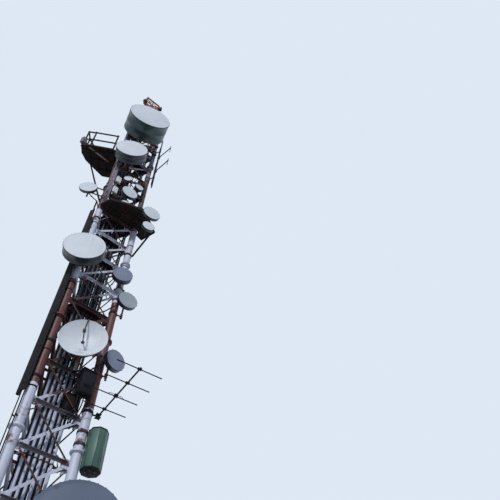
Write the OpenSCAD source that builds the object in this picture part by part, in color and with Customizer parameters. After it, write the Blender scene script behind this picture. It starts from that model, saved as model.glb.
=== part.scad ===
// Three-legged lattice mast of a cell tower, with its platforms and antennas.
// It is a 1:2 scale model of a tower about 58 m tall, in millimetres of the model.
// The origin is on the underside of the left leg's base plate. +X runs along the front
// face from the left leg to the right leg, +Y runs away from the front face, +Z is up.

/* [Mast] */
// Height of one panel of bracing
panel_h = 1130; // [1120:2:1140]
// Height of the lowest bracing level above the ground
base_level = 300; // [280:5:320]
// Distance between leg centres at the ground
base_face = 1525; // [1500:5:1560]
// Distance between leg centres at the highest bracing level
top_face = 1338; // [1318:5:1368]
// Outside diameter of a leg tube in the lower stretch
lower_leg_d = 240; // [230:2:250]
// Outside diameter of a leg tube in the middle stretch
middle_leg_d = 220; // [206:2:228]
// Outside diameter of a leg tube in the upper stretch
upper_leg_d = 190; // [176:2:204]
// Length of leg above the highest bracing level
leg_stub = 250; // [240:5:280]
// Height of a bracing level to the leg flange above it
flange_rise = 340; // [335:1:345]
// How far a leg flange stands out from its tube
flange_out = 50; // [40:2:54]
// Thickness of one of the two discs of a leg flange
flange_t = 20; // [14:1:24]
// Clearance between pieces that are bolted together
seat = 0.5; // [0.4:0.1:0.6]

/* [Bracing] */
// Width of both legs of a bracing angle
angle_w = 70; // [60:1:74]
// Thickness of a bracing angle
angle_t = 8; // [6:0.5:10]
// Width of a gusset plate, from the leg inwards
gusset_w = 190; // [170:5:210]
// Height of a gusset plate
gusset_h = 230; // [210:5:240]
// Thickness of a gusset plate
gusset_t = 12; // [11:0.5:13]
// Width of the flat bar across each diagonal
flat_w = 40; // [30:1:46]

/* [Base] */
// Side of a square base plate
plate_w = 520; // [500:10:560]
// Thickness of a base plate
plate_t = 30; // [24:1:36]
// Distance between anchor holes
anchor_pitch = 410; // [400:5:430]
// Diameter of an anchor hole
anchor_d = 36; // [26:1:40]
// Height of a stiffener on a base plate
stiffener_h = 140; // [110:5:150]

/* [Platforms] */
// Thickness of the grating of a platform
deck_t = 26; // [20:1:32]
// Depth of a beam under a balcony
beam_h = 70; // [60:1:90]
// Width of a beam under a balcony
beam_w = 36; // [30:1:44]
// Diameter of a guard rail post
rail_d = 50; // [40:1:54]
// Height of the upper balcony's guard rail
rail_h = 1380; // [1300:10:1400]
// Reach of the upper balcony from its face
upper_reach = 1640; // [1600:10:1680]
// Reach of the middle balcony from its face
middle_reach = 955; // [930:5:980]
// Width of the hatch in a platform, where the ladder passes
hatch_w = 360; // [320:5:380]
// Length of the hatch in a platform
hatch_l = 290; // [260:5:300]
// Diameter of a brace under a balcony
brace_d = 64; // [50:2:70]
// Distance between the posts of the top section
top_section_w = 700; // [660:10:740]
// Height of the top section above the plate that it stands on
top_section_h = 2400; // [2300:20:2500]

/* [Ladder and feeders] */
// Width of the ladder, over its stiles
ladder_w = 260; // [240:5:280]
// Distance between rungs
rung_pitch = 150; // [145:1:160]
// Diameter of a rung
rung_d = 16; // [12:1:18]
// Width of a stile
stile_w = 16; // [12:1:20]
// Diameter of one feeder line
feeder_d = 70; // [56:1:74]
// Distance between feeder lines
feeder_pitch = 130; // [120:1:134]
// Side of a square bar across the mast
rack_w = 50; // [40:1:56]
// Diameter of the riser beside the left leg
riser_d = 100; // [80:2:104]

/* [Antennas] */
// Diameter of the top drum
top_drum_d = 1750; // [1700:10:1780]
// Length of the top drum's shroud
top_drum_l = 850; // [800:10:880]
// Diameter of the upper and middle drums and of the open dish
large_drum_d = 1200; // [1160:10:1220]
// Length of the upper drum's shroud
upper_drum_l = 400; // [360:10:420]
// Length of the middle drum's shroud
middle_drum_l = 300; // [260:10:320]
// Diameter of the lower drum
lower_drum_d = 1850; // [1800:10:1880]
// Length of the lower drum's shroud
lower_drum_l = 450; // [420:10:480]
// Diameter of the small drums
small_drum_d = 600; // [560:10:610]
// Diameter of the smallest drums
mini_drum_d = 330; // [300:10:350]
// Focal length of a drum's reflector, as a share of its diameter
focal_ratio = 0.52; // [0.45:0.01:0.6]
// Focal length of the open dish, as a share of its diameter
open_focal_ratio = 0.375; // [0.35:0.005:0.4]
// Thickness of a drum's shroud
shroud_t = 12; // [8:1:16]
// Thickness of a drum's back hub
hub_t = 24; // [16:1:30]
// Diameter of the pipe behind a large drum
mast_pipe_d = 90; // [80:2:96]
// Diameter of the pipe behind a small drum
thin_pipe_d = 54; // [44:2:60]
// Diameter of the arm between a leg and a pipe
arm_d = 46; // [36:2:54]
// Height of a clamp round a leg
clamp_h = 70; // [60:2:74]
// Thickness of a clamp round a leg
clamp_t = 14; // [10:1:18]
// Side of a square rail across the front face
cross_rail_w = 80; // [70:2:90]
// Length of the boom of the beam antenna
boom_len = 2080; // [1980:10:2120]
// Length of an element of the beam antenna
element_len = 1120; // [1060:10:1140]
// Width across the flats of the prismatic antenna
prism_w = 420; // [390:5:440]
// Height of the prismatic antenna
prism_h = 1010; // [980:5:1030]
// Width of an equipment cabinet
cabinet_w = 360; // [330:5:370]

/* [Hidden] */

panels = 23;
stretch = 8;
lower_flange = 10;
middle_flange = 16;
tower_h = base_level + panels * panel_h;
leg_top = tower_h + leg_stub;
axis_x = base_face / 2;
axis_y = base_face / (2 * sqrt(3));
leg_angle = [210, 330, 90];

function level(n) = base_level + n * panel_h;
function flange_z(n) = level(n) + flange_rise;
function face_at(z) = base_face + (top_face - base_face) * z / tower_h;
function face_y(z) = -face_at(z) / (2 * sqrt(3));
function face_end(z) = face_at(z) / 2;
function radius_at(z) = face_at(z) / sqrt(3);
function leg_r(z) = (z < flange_z(lower_flange) ? lower_leg_d
    : z < flange_z(middle_flange) ? middle_leg_d : upper_leg_d) / 2;
function leg_point(i, z) = [
    axis_x + radius_at(z) * cos(leg_angle[i]),
    axis_y + radius_at(z) * sin(leg_angle[i]), z];
function unit(v) = v / norm(v);
function turn(v, a) = [v.x * cos(a) - v.y * sin(a), v.x * sin(a) + v.y * cos(a)];
// A point given on face i, x along it and y across it, at height z
function on_face_point(i, x, y, z) =
    let (p = turn([x, y], 120 * i)) [axis_x + p.x, axis_y + p.y, z];
// Underside and top of a platform that lies on the bars of level n
function rest_z(n) = level(n) + angle_w / 2 + seat;
function deck_top(n) = rest_z(n) + deck_t;

// A round bar from p to q
module rod(p, q, d, sides = 24) {
    v = q - p;
    translate(p)
        rotate([0, acos(v.z / norm(v)), atan2(v.y, v.x)])
            cylinder(h = norm(v), d = d, $fn = sides);
}

// Things on face i are drawn as on the front face and turned about the mast's axis
module on_face(i) {
    translate([axis_x, axis_y, 0])
        rotate([0, 0, 120 * i])
            children();
}

// A clamp round leg i
module clamp(i, z) {
    translate(leg_point(i, z))
        difference() {
            cylinder(h = clamp_h, r = leg_r(z) + seat + clamp_t, center = true, $fn = 48);
            cylinder(h = clamp_h + 2, r = leg_r(z) + seat, center = true, $fn = 48);
        }
}

// A clamp on leg i with an arm to the point q beside it
module arm(i, z, q, d = arm_d) {
    l = leg_point(i, z);
    v = unit([q.x - l.x, q.y - l.y, 0]);
    clamp(i, z);
    rod(l + v * (leg_r(z) + seat + clamp_t / 2), [q.x, q.y, z], d);
}

// A clamp on leg i with a brace up to the point q
module brace(i, z, q) {
    l = leg_point(i, z);
    v = unit([q.x - l.x, q.y - l.y, 0]);
    clamp(i, z);
    rod(l + v * (leg_r(z) + seat + 2 + brace_d / 2), q, brace_d);
}

// A leg is one turned shape round its own axis: three tubes with their flanges
module leg(i) {
    foot = leg_point(i, plate_t);
    v = unit(leg_point(i, leg_top) - foot);
    function along(z) = (z - plate_t) / v.z;
    color("firebrick")
        translate(foot)
            rotate([0, acos(v.z), atan2(v.y, v.x)])
                rotate_extrude($fn = 64)
                    polygon(concat(
                        [[0, 0], [lower_leg_d / 2, 0]],
                        [for (n = [1 : 3 : panels - 1])
                            for (side = [-1, 1])
                                let (r = leg_r(flange_z(n) + side), z = along(flange_z(n)) + side * flange_t,
                                    rim = leg_r(flange_z(n) - 1) + flange_out)
                                    each side < 0 ? [[r, z], [rim, z]] : [[rim, z], [r, z]]],
                        [[upper_leg_d / 2, along(leg_top) - flange_t],
                         [upper_leg_d / 2 + flange_out, along(leg_top) - flange_t],
                         [upper_leg_d / 2 + flange_out, along(leg_top)], [0, along(leg_top)]]));
}

module base_plate(i) {
    p = leg_point(i, 0);
    r = lower_leg_d / 2 + 2 * seat;
    color("gray")
        translate([p.x, p.y, 0]) {
            difference() {
                translate([-plate_w / 2, -plate_w / 2, 0])
                    cube([plate_w, plate_w, plate_t - seat]);
                for (sx = [-1, 1], sy = [-1, 1])
                    translate([sx * anchor_pitch / 2, sy * anchor_pitch / 2, -1])
                        cylinder(h = plate_t + 2, d = anchor_d, $fn = 32);
            }
            for (a = [0, 90, 180, 270])
                rotate([90, 0, a])
                    translate([0, 0, -gusset_t / 2])
                        linear_extrude(gusset_t)
                            polygon([
                                [r, plate_t - 2], [plate_w / 2 - 20, plate_t - 2], [plate_w / 2 - 20, plate_t + 20],
                                [r + 40, plate_t + stiffener_h], [r, plate_t + stiffener_h]]);
        }
}

// An angle bar in the plane of the front face, from p to q, each [x, z]
module angle_bar(p, q, y, side) {
    v = q - p;
    translate([p.x, y, p.y])
        rotate([0, 90 - atan2(v.y, v.x), 0])
            rotate([0, 0, 90])
                linear_extrude(norm(v))
                    scale([side, 1])
                        polygon([
                            [0, -angle_w / 2], [angle_t, -angle_w / 2], [angle_t, angle_w / 2 - angle_t],
                            [angle_w, angle_w / 2 - angle_t], [angle_w, angle_w / 2], [0, angle_w / 2]]);
}

// Where the bars end: beyond the leg's surface, and above or below a level
bar_start = 45;
diagonal_in = 30;
diagonal_rise = 60;
// How deep a bar is let into its gusset
lap = 2;
function bar_x(n) = face_end(level(n)) - leg_r(level(n)) - bar_start;

// A flat bar in the plane of the front face, from p to q, each [x, z]. Where it starts on
// the stretch below, a packing plate joins its upper end to the gusset.
flat_t = 6;
module flat_bar(p, q, y, t) {
    v = q - p;
    translate([p.x, y, p.y])
        rotate([0, -atan2(v.y, v.x), 0])
            translate([0, -t, -flat_w / 2])
                cube([norm(v), t, flat_w]);
}

// One stretch of bracing on the front face: level bars, and in each panel a diagonal of
// angle inside and one of flat bar outside. Its lowest ones lie on the gussets of the
// stretch below.
module bracing(first) {
    last = min(first + stretch, panels);
    color("lightgray")
        for (n = [first : last]) {
            z = level(n);
            y = face_y(z);
            whole = n > first || first == 0;
            if (whole) {
                for (s = [-1, 1])
                    translate([s * (face_end(z) - leg_r(z) - 1.5 * seat - gusset_w / 2), y, z])
                        cube([gusset_w, gusset_t, gusset_h], center = true);
                angle_bar([-bar_x(n), z], [bar_x(n), z], y - gusset_t / 2 + lap, -1);
            }
            if (n < last) {
                angle_bar([diagonal_in - bar_x(n), z + diagonal_rise],
                    [bar_x(n + 1) - diagonal_in, level(n + 1) - diagonal_rise],
                    y + gusset_t / 2 + (whole ? -lap : seat), 1);
                flat_bar([bar_x(n) - diagonal_in, z + diagonal_rise],
                    [diagonal_in - bar_x(n + 1), level(n + 1) - diagonal_rise],
                    whole ? face_y(level(n + 1)) - gusset_t / 2 + lap : y - gusset_t / 2 - seat, flat_t);
                if (!whole)
                    translate([-bar_x(n + 1), face_y(level(n + 1)) - gusset_t / 2 + lap - flat_t,
                            level(n + 1) - diagonal_rise - flat_w])
                        cube([2 * flat_w, flat_t, flat_w]);
            }
        }
}

module front_bracing(first) { on_face(0) bracing(first); }
module right_bracing(first) { on_face(1) bracing(first); }
module left_bracing(first) { on_face(2) bracing(first); }

// A square bar across the mast at level n, from the left face to the right face. It ends
// a little short of a plane that lies `out` outside the faces' middle planes.
module rack_bar(n, y, out) {
    r = 2 * (out - face_y(level(n)) - seat);
    translate([axis_x, axis_y, level(n) - rack_w / 2])
        linear_extrude(rack_w)
            intersection() {
                polygon([for (a = leg_angle) r * [cos(a), sin(a)]]);
                translate([-face_end(0), y])
                    square([base_face, rack_w]);
            }
}

// The ladder stands behind the mast's axis, the feeder lines stand in front of it
ladder_y = 150;
feeder_y = -200;
module rack_bars() {
    color("gray")
        for (n = [1 : 2 : panels]) {
            rack_bar(n, ladder_y + stile_w + seat, gusset_t / 2 - lap);
            rack_bar(n, feeder_y + feeder_d / 2 + seat, -gusset_t / 2);
        }
}

ladder_top = level(panels);
module ladder() {
    rungs = floor((ladder_top - base_level) / rung_pitch);
    color("silver")
        translate([axis_x, axis_y + ladder_y, base_level]) {
            for (s = [-1, 1])
                translate([s * (ladder_w - stile_w) / 2 - stile_w / 2, -stile_w, 0])
                    cube([stile_w, 2 * stile_w, ladder_top - base_level]);
            for (k = [0 : rungs - 1])
                translate([-(ladder_w - stile_w) / 2, 0, (k + 0.5) * rung_pitch])
                    rotate([0, 90, 0])
                        cylinder(h = ladder_w - stile_w, d = rung_d, $fn = 16);
        }
}

feeder_last_level = [23, 21, 19, 17, 15, 13];
module feeder_lines() {
    n = len(feeder_last_level);
    color("lightsteelblue")
        for (k = [0 : n - 1])
            translate([axis_x + (k - (n - 1) / 2) * feeder_pitch, axis_y + feeder_y, base_level])
                cylinder(h = level(feeder_last_level[k]) + rack_w - base_level, d = feeder_d, $fn = 24);
}

// A riser runs up beside the left leg, held by clamps half-way between levels
riser_a = 168;
riser_first = 8;
riser_last = 15;
riser_clamps = [8, 9, 11, 12, 14];
function riser_point(z) = leg_point(0, z)
    + (lower_leg_d / 2 + flange_out + riser_d / 2 + 6) * [cos(riser_a), sin(riser_a), 0];
module leg_riser() {
    color("darkslategray") {
        rod(riser_point(level(riser_first)), riser_point(level(riser_last) - gusset_h), riser_d);
        for (n = riser_clamps)
            arm(0, level(n) + panel_h / 2, riser_point(level(n) + panel_h / 2), riser_d / 2);
    }
}

// The floor between the legs: a triangle that lies on the level bars, with its
// corners cut clear of the gussets and openings for the ladder and the feeders
deck_lap = 40;
corner_gap = 20;
module floor_shape(z) {
    h = deck_lap - face_y(z);
    c = radius_at(z) - (leg_r(z) + gusset_w + corner_gap) * cos(30);
    s = (c - h * cos(60)) / sin(60);
    n = len(feeder_last_level);
    translate([axis_x, axis_y])
        difference() {
            polygon([for (i = [0 : 2]) for (t = [-s, s]) turn([t, -h], 120 * i)]);
            translate([-hatch_w / 2, ladder_y + 2 * stile_w - hatch_l])
                square([hatch_w, hatch_l]);
            translate([-(n - 1) / 2 * feeder_pitch - feeder_d, feeder_y - feeder_d])
                square([(n - 1) * feeder_pitch + 2 * feeder_d, 2 * feeder_d]);
        }
}

// A balcony's floor: an outline on the front face, clear of the legs, joined to
// the floor between the legs where the gussets leave room
module balcony_shape(z, outline) {
    h = face_end(z) - leg_r(z) - gusset_w - corner_gap;
    difference() {
        union() {
            polygon(outline);
            translate([-h, face_y(z) - 2 * deck_lap])
                square([2 * h, 3 * deck_lap]);
        }
        for (s = [-1, 1])
            translate([s * face_end(z), face_y(z)])
                circle(leg_r(z) + corner_gap, $fn = 48);
    }
}

// A beam under a balcony, straight out from its face
module balcony_beam(n, x, y0, y1) {
    translate([x - beam_w / 2, y1, rest_z(n) - beam_h])
        cube([beam_w, y0 - y1, beam_h + 1]);
}

// A balcony keeps clear of the gussets; its beams keep clear of the level bars
edge_gap = 12;
beam_gap = 82;
upper_n = 19;
middle_n = 15;
lower_n = 11;

function upper_outline(z) =
    let (x = face_end(z), y = face_y(z), r = upper_reach)
    [[x - 40, y - edge_gap], [x + 30, y - 0.2 * r], [x + 40, y - 0.8 * r], [x, y - r],
     [x - 340, y - 0.98 * r], [x - 660, y - 0.88 * r], [x - 1085, y - 0.6 * r],
     [x - 1290, y - 0.46 * r], [x - 1300, y - 0.3 * r], [x - 1290, y - edge_gap]];

module upper_platform() {
    z = level(upper_n);
    x = face_end(z);
    y = face_y(z);
    color("saddlebrown") {
        translate([0, 0, rest_z(upper_n)])
            linear_extrude(deck_t) {
                floor_shape(z);
                translate([axis_x, axis_y])
                    rotate(240)
                        balcony_shape(z, upper_outline(z));
            }
        on_face(2) {
            balcony_beam(upper_n, x - 170, y - 2 * beam_gap, y - 0.94 * upper_reach);
            balcony_beam(upper_n, x - 560, y - beam_gap, y - 0.86 * upper_reach);
            balcony_beam(upper_n, x - 1000, y - beam_gap, y - 0.6 * upper_reach);
        }
        // from the outer edge down to the left leg
        brace(0, level(15) + 0.58 * panel_h,
            on_face_point(2, x - 690, y - 0.77 * upper_reach, rest_z(upper_n) + 2));
    }
}

// Posts and rails along the upper balcony's edge, a little inside it
post_in = 60;
rail_w = 36;
module upper_guard_rail() {
    z = deck_top(upper_n) + seat;
    edge = upper_outline(level(upper_n));
    middle = (edge[2] + edge[7]) / 2;
    p = [for (k = [1 : len(edge) - 2]) if (k != 7) edge[k] + post_in * unit(middle - edge[k])];
    color("dimgray")
        on_face(2) {
            for (q = p)
                translate([q.x, q.y, z])
                    cylinder(h = rail_h, d = rail_d, $fn = 24);
            for (f = [0.5, 1])
                translate([0, 0, z + f * rail_h - 1.1 * rail_d])
                    linear_extrude(rail_w)
                        for (k = [1 : len(p) - 1])
                            hull()
                                for (q = [p[k - 1], p[k]])
                                    translate(q)
                                        circle(rail_w / 2, $fn = 12);
        }
}

function middle_outline(z) =
    let (x = face_end(z), y = face_y(z), r = middle_reach)
    [[-x + 60, y - edge_gap], [-x - 100, y - 0.2 * r], [-x + 40, y - 0.6 * r], [-0.13 * x, y - 0.84 * r],
     [0.72 * x, y - r], [x + 585, y - 0.45 * r], [x + 405, y + 135], [x + 160, y + 80], [x - 60, y - edge_gap]];

module middle_platform() {
    z = level(middle_n);
    x = face_end(z);
    y = face_y(z);
    color("saddlebrown") {
        translate([0, 0, rest_z(middle_n)])
            linear_extrude(deck_t) {
                floor_shape(z);
                translate([axis_x, axis_y])
                    balcony_shape(z, middle_outline(z));
            }
        on_face(0) {
            balcony_beam(middle_n, -0.6 * x, y - beam_gap, y - 0.62 * middle_reach);
            balcony_beam(middle_n, 0, y - beam_gap, y - 0.82 * middle_reach);
            balcony_beam(middle_n, 0.6 * x, y - beam_gap, y - 0.82 * middle_reach);
        }
        // from the right corner down to the right leg
        brace(1, level(13) + 0.76 * panel_h,
            on_face_point(0, x + 480, y - 0.4 * middle_reach, rest_z(middle_n) + 2));
    }
}

module lower_platform() {
    color("saddlebrown")
        translate([0, 0, rest_z(lower_n)])
            linear_extrude(deck_t)
                floor_shape(level(lower_n));
}

// A plate on top of the legs, and the narrow section of three posts that stands on it
top_plate_t = 60;
top_hole_r = 300;
top_post_d = 60;
top_ring_h = 140;
top_ring_z = leg_top + 0.55 * top_section_h;
lamp_arm_w = 70;
lamp_arm_t = 20;
lamp_out = 110;
// The corners of the top section, and a ring round them that is `out` wider than the posts
function top_corner(a) = [axis_x, axis_y] + top_section_w / sqrt(3) * [cos(a), sin(a)];
module top_ring(out) {
    hull()
        for (a = leg_angle)
            translate(top_corner(a))
                circle(top_post_d / 2 + out, $fn = 32);
}
module top_frame() {
    color("orangered") {
        translate([0, 0, leg_top + seat])
            linear_extrude(top_plate_t)
                difference() {
                    hull()
                        for (i = [0 : 2])
                            translate([leg_point(i, leg_top).x, leg_point(i, leg_top).y])
                                circle(upper_leg_d / 2 + flange_out + 10, $fn = 48);
                    translate([axis_x, axis_y])
                        circle(top_hole_r, $fn = 48);
                }
        for (a = leg_angle)
            translate([top_corner(a).x, top_corner(a).y, leg_top + top_plate_t / 2])
                cylinder(h = top_section_h - top_plate_t / 2, d = top_post_d, $fn = 32);
        for (z = [top_ring_z, leg_top + top_section_h - top_ring_h])
            translate([0, 0, z])
                linear_extrude(top_ring_h)
                    difference() {
                        top_ring(15);
                        top_ring(-20);
                    }
        for (a = [leg_angle[0], leg_angle[1]])
            translate([top_corner(a).x, top_corner(a).y, top_ring_z])
                rotate([0, 0, a])
                    translate([0, -lamp_arm_w / 2, 0])
                        cube([lamp_out + lamp_arm_w, lamp_arm_w, lamp_arm_t]);
    }
}

lamp_d = 110;
module beacon_lamps() {
    color("red")
        for (a = [leg_angle[0], leg_angle[1]])
            translate([top_corner(a).x, top_corner(a).y, top_ring_z + lamp_arm_t + seat])
                rotate([0, 0, a])
                    translate([lamp_out, 0, 0]) {
                        cylinder(h = lamp_d / 2, d = lamp_d, $fn = 32);
                        cylinder(h = 1.6 * lamp_d, d = 0.75 * lamp_d, $fn = 32);
                    }
}

// Antennas. Each one is drawn facing +X with the middle of its face at the origin.
module facing(p, a) {
    translate(p)
        rotate([0, 0, a])
            children();
}

// The depth of a dish's reflector, and of a whole drum behind its face
function sag(d, ratio = focal_ratio) = d / (16 * ratio);
function drum_back(d, l) = l + sag(d) + hub_t;

curve_steps = 6;
mouth = 8;
// A shroud tube, closed behind by the reflector, with a hub on its back
module drum_body(d, l) {
    r = d / 2;
    rotate([0, 90, 0])
        rotate_extrude($fn = 64)
            polygon(concat(
                [[0, -drum_back(d, l)], [0.14 * d, -drum_back(d, l)]],
                [for (k = [2 : curve_steps]) [r * k / curve_steps, -l - sag(d) * (1 - pow(k / curve_steps, 2))]],
                [[r, -mouth], [r - shroud_t, -mouth]],
                [for (k = [curve_steps : -1 : 0])
                    [(r - shroud_t) * k / curve_steps, shroud_t - l - sag(d) * (1 - pow(k / curve_steps, 2))]]));
}

// The radome closes a drum's mouth and bulges a little
radome_lip = 10;
module drum_radome(d) {
    rotate([0, 90, 0])
        translate([0, 0, seat - mouth])
            rotate_extrude($fn = 64)
                polygon([[0, 0], [d / 2, 0], [d / 2, radome_lip], [0.36 * d, radome_lip + 0.012 * d],
                    [0, radome_lip + 0.018 * d]]);
}

// A small drum is solid, with a shallow back
module small_drum(d, l) {
    rotate([0, 90, 0])
        rotate_extrude($fn = 48)
            polygon([[0, -drum_back(d, l)], [0.16 * d, -drum_back(d, l)], [0.2 * d, -l - sag(d)],
                [0.4 * d, -l - 0.5 * sag(d)], [d / 2, -l], [d / 2, -mouth], [0, -mouth]]);
}

// A point beside leg i, given by its azimuth and distance from the leg's axis
function beside(i, a, reach, z) = leg_point(i, z) + reach * [cos(a), sin(a), 0];
// The middle of an antenna's face in front of its pipe
function face_of(pipe, a, back) = pipe + back * [cos(a), sin(a), 0];

// Heights of the rails that carry the top drum, and the levels whose bars carry the dish
top_rail_z = [23150, 23950];
dish_n = [9, 10];
top_drum_a = -105;
large_drum_a = -116;
function rail_face_y(z) = axis_y + face_y(z) - leg_r(z) - seat - cross_rail_w;
pipe_seat = mast_pipe_d / 2 + seat;
top_pipe = [603, rail_face_y(top_rail_z[0]) - pipe_seat, 23550];
dish_pipe = [784, axis_y + face_y(level(dish_n[0])) - 245, 11243];
upper_pipe = beside(0, -48, 490, 20790);
middle_pipe = beside(0, -90, 200, 14290);
lower_pipe = beside(1, -70, 430, 6430);
open_back = sag(large_drum_d, open_focal_ratio) + hub_t;
top_drum_at = face_of(top_pipe, top_drum_a, pipe_seat + drum_back(top_drum_d, top_drum_l));
dish_at = face_of(dish_pipe, large_drum_a, pipe_seat + open_back);
upper_drum_at = face_of(upper_pipe, large_drum_a, pipe_seat + drum_back(large_drum_d, upper_drum_l));
middle_drum_at = face_of(middle_pipe, large_drum_a, pipe_seat + drum_back(large_drum_d, middle_drum_l));
lower_drum_at = face_of(lower_pipe, large_drum_a, pipe_seat + drum_back(lower_drum_d, lower_drum_l));

module top_drum() { color("darkseagreen") facing(top_drum_at, top_drum_a) drum_body(top_drum_d, top_drum_l); }
module top_drum_radome() { color("lightcyan") facing(top_drum_at, top_drum_a) drum_radome(top_drum_d); }
module upper_drum() { color("dimgray") facing(upper_drum_at, large_drum_a) drum_body(large_drum_d, upper_drum_l); }
module upper_drum_radome() { color("whitesmoke") facing(upper_drum_at, large_drum_a) drum_radome(large_drum_d); }
module middle_drum() { color("dimgray") facing(middle_drum_at, large_drum_a) drum_body(large_drum_d, middle_drum_l); }
module middle_drum_radome() { color("whitesmoke") facing(middle_drum_at, large_drum_a) drum_radome(large_drum_d); }
module lower_drum() { color("slategray") facing(lower_drum_at, large_drum_a) drum_body(lower_drum_d, lower_drum_l); }
module lower_drum_radome() { color("slategray") facing(lower_drum_at, large_drum_a) drum_radome(lower_drum_d); }

dish_t = 8;
module open_dish() {
    d = large_drum_d;
    deep = sag(d, open_focal_ratio);
    color("white")
        facing(dish_at, large_drum_a)
            rotate([0, 90, 0])
                rotate_extrude($fn = 64)
                    polygon(concat(
                        [for (k = [0 : curve_steps]) [d / 2 * k / curve_steps, -deep * (1 - pow(k / curve_steps, 2))]],
                        [[d / 2 + dish_t, 0], [d / 2 + dish_t, -3 * dish_t]],
                        [for (k = [curve_steps : -1 : 2])
                            [d / 2 * k / curve_steps, -dish_t - deep * (1 - pow(k / curve_steps, 2))]],
                        [[0.14 * d, -open_back], [0, -open_back]]));
}

// A rod from the dish's middle to its focus, and a horn that a stay holds from the rim
module open_dish_feed() {
    d = large_drum_d;
    deep = sag(d, open_focal_ratio);
    focus = open_focal_ratio * d - deep;
    color("dimgray")
        facing(dish_at, large_drum_a) {
            rod([seat - deep, 0, 0], [focus, 0, 0], 22);
            rod([focus - 60, 0, 0], [focus + 30, 0, 0], 80);
            rod([focus - 10, 0, 0], [2 * dish_t, 0, d / 2 - dish_t], 30);
            rod([seat, 0, d / 2 - dish_t], [4 * dish_t, 0, d / 2 - dish_t], 44);
        }
}

// Rails across the front face, held against both front legs
rail_end = 60;
module cross_rails() {
    color("gray")
        for (z = top_rail_z)
            translate([axis_x - face_end(z) - rail_end, rail_face_y(z), z - cross_rail_w / 2])
                cube([face_at(z) + 2 * rail_end, cross_rail_w, cross_rail_w]);
}

// An upright pipe, and one held beside leg i by arms at the heights given
module upright(p, z, d) {
    rod([p.x, p.y, z[0]], [p.x, p.y, z[1]], d);
}
module leg_mount(i, p, z, arms, d) {
    upright(p, z, d);
    for (h = arms)
        arm(i, h, p);
}

// A stub back from a pipe in front of the front face to the bar of level n
stub_d = 40;
stub_drop = 5;
module stub(p, n) {
    rod([p.x, p.y, level(n) - stub_drop],
        [p.x, axis_y + face_y(level(n)) - gusset_t / 2 + lap - angle_t - seat, level(n) - stub_drop], stub_d);
}

// Small drums beside a leg: leg, azimuth and reach of the pipe, height, facing,
// shroud length, ends of the pipe, heights of the arms
side_list = [
    [1, -20, 250, 13540, -95, 130, [12950, 13780], [13050, 13600]],
    [1, -37, 230, 11150, -80, 140, [10620, 11460], [10750, 11340]],
    [0, 162.8, 575, 18095, -122, 100, [17820, 18700], [18120, 18560]],
    [1, -121, 240, 14290, -107, 160, [14020, 14760], [14120, 14680]]];
thin_seat = thin_pipe_d / 2 + seat;
function side_pipe(s) = beside(s[0], s[1], s[2], s[3]);

module drum_mounts() {
    color("gray") {
        upright(top_pipe, [22950, 24150], mast_pipe_d);
        upright(dish_pipe, [10350, 11800], mast_pipe_d);
        for (n = dish_n)
            stub(dish_pipe, n);
        leg_mount(0, upper_pipe, [20240, 21240], [20340, 21100], mast_pipe_d);
        leg_mount(0, middle_pipe, [13980, 14850], [14100, 14720], mast_pipe_d);
        leg_mount(1, lower_pipe, [5500, 7500], [5600, 7400], mast_pipe_d);
        for (s = side_list)
            leg_mount(s[0], side_pipe(s), s[6], s[7], thin_pipe_d);
    }
}

// Poles of the middle balcony: three stand on it, each with its top, and one
// hangs on a flat bar beside its outer edge
pole_list = [[663, -146, 19850], [765, -150, 18980], [1085, -110, 19820]];
edge_bar_w = 44;
edge_bar_t = 20;
edge_out = 120;
edge_pole_z = [15990, 17500];
edge_from = on_face_point(0, middle_outline(level(middle_n))[4].x, middle_outline(level(middle_n))[4].y, 0);
edge_to = on_face_point(0, middle_outline(level(middle_n))[5].x, middle_outline(level(middle_n))[5].y, 0);
edge_dir = unit(edge_to - edge_from);
edge_normal = [edge_dir.y, -edge_dir.x, 0];
edge_pole = edge_from + 130 * edge_dir + edge_out * edge_normal;
// Drums on the poles: pole, height, facing, diameter, length
pole_drum_list = [
    [0, 19620, -121, mini_drum_d, 120],
    [1, 18700, -94, small_drum_d, 120],
    [1, 17930, -99, mini_drum_d, 120],
    [2, 19550, -94, mini_drum_d, 120],
    [3, 17020, -98, small_drum_d, 110],
    [3, 16260, -100, 1.25 * mini_drum_d, 110]];
function pole_at(k) = k < len(pole_list) ? pole_list[k] : edge_pole;
function pole_face(s) = face_of([pole_at(s[0]).x, pole_at(s[0]).y, s[1]], s[2],
    thin_seat + drum_back(s[3], s[4]));

module antenna_poles() {
    color("dimgray") {
        for (p = pole_list) {
            upright(p, [deck_top(middle_n) + seat, p.z], thin_pipe_d);
            for (n = [middle_n + 1, middle_n + 2])
                if (p.z > level(n) + stub_d)
                    stub(p, n);
        }
        upright(edge_pole, edge_pole_z, thin_pipe_d);
        translate([edge_pole.x, edge_pole.y, rest_z(middle_n) + (deck_t - edge_bar_t) / 2])
            rotate([0, 0, atan2(edge_normal.y, edge_normal.x)])
                translate([seat - edge_out, -edge_bar_w / 2, 0])
                    cube([edge_out - seat, edge_bar_w, edge_bar_t]);
    }
}

module small_drums() {
    color("dimgray") {
        for (s = side_list)
            facing(face_of(side_pipe(s), s[4], thin_seat + drum_back(small_drum_d, s[5])), s[4])
                small_drum(small_drum_d, s[5]);
        for (s = pole_drum_list)
            facing(pole_face(s), s[2])
                small_drum(s[3], s[4]);
    }
}

module small_drum_radomes() {
    color("whitesmoke") {
        for (s = side_list)
            facing(face_of(side_pipe(s), s[4], thin_seat + drum_back(small_drum_d, s[5])), s[4])
                drum_radome(small_drum_d);
        for (s = pole_drum_list)
            facing(pole_face(s), s[2])
                drum_radome(s[3]);
    }
}

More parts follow.
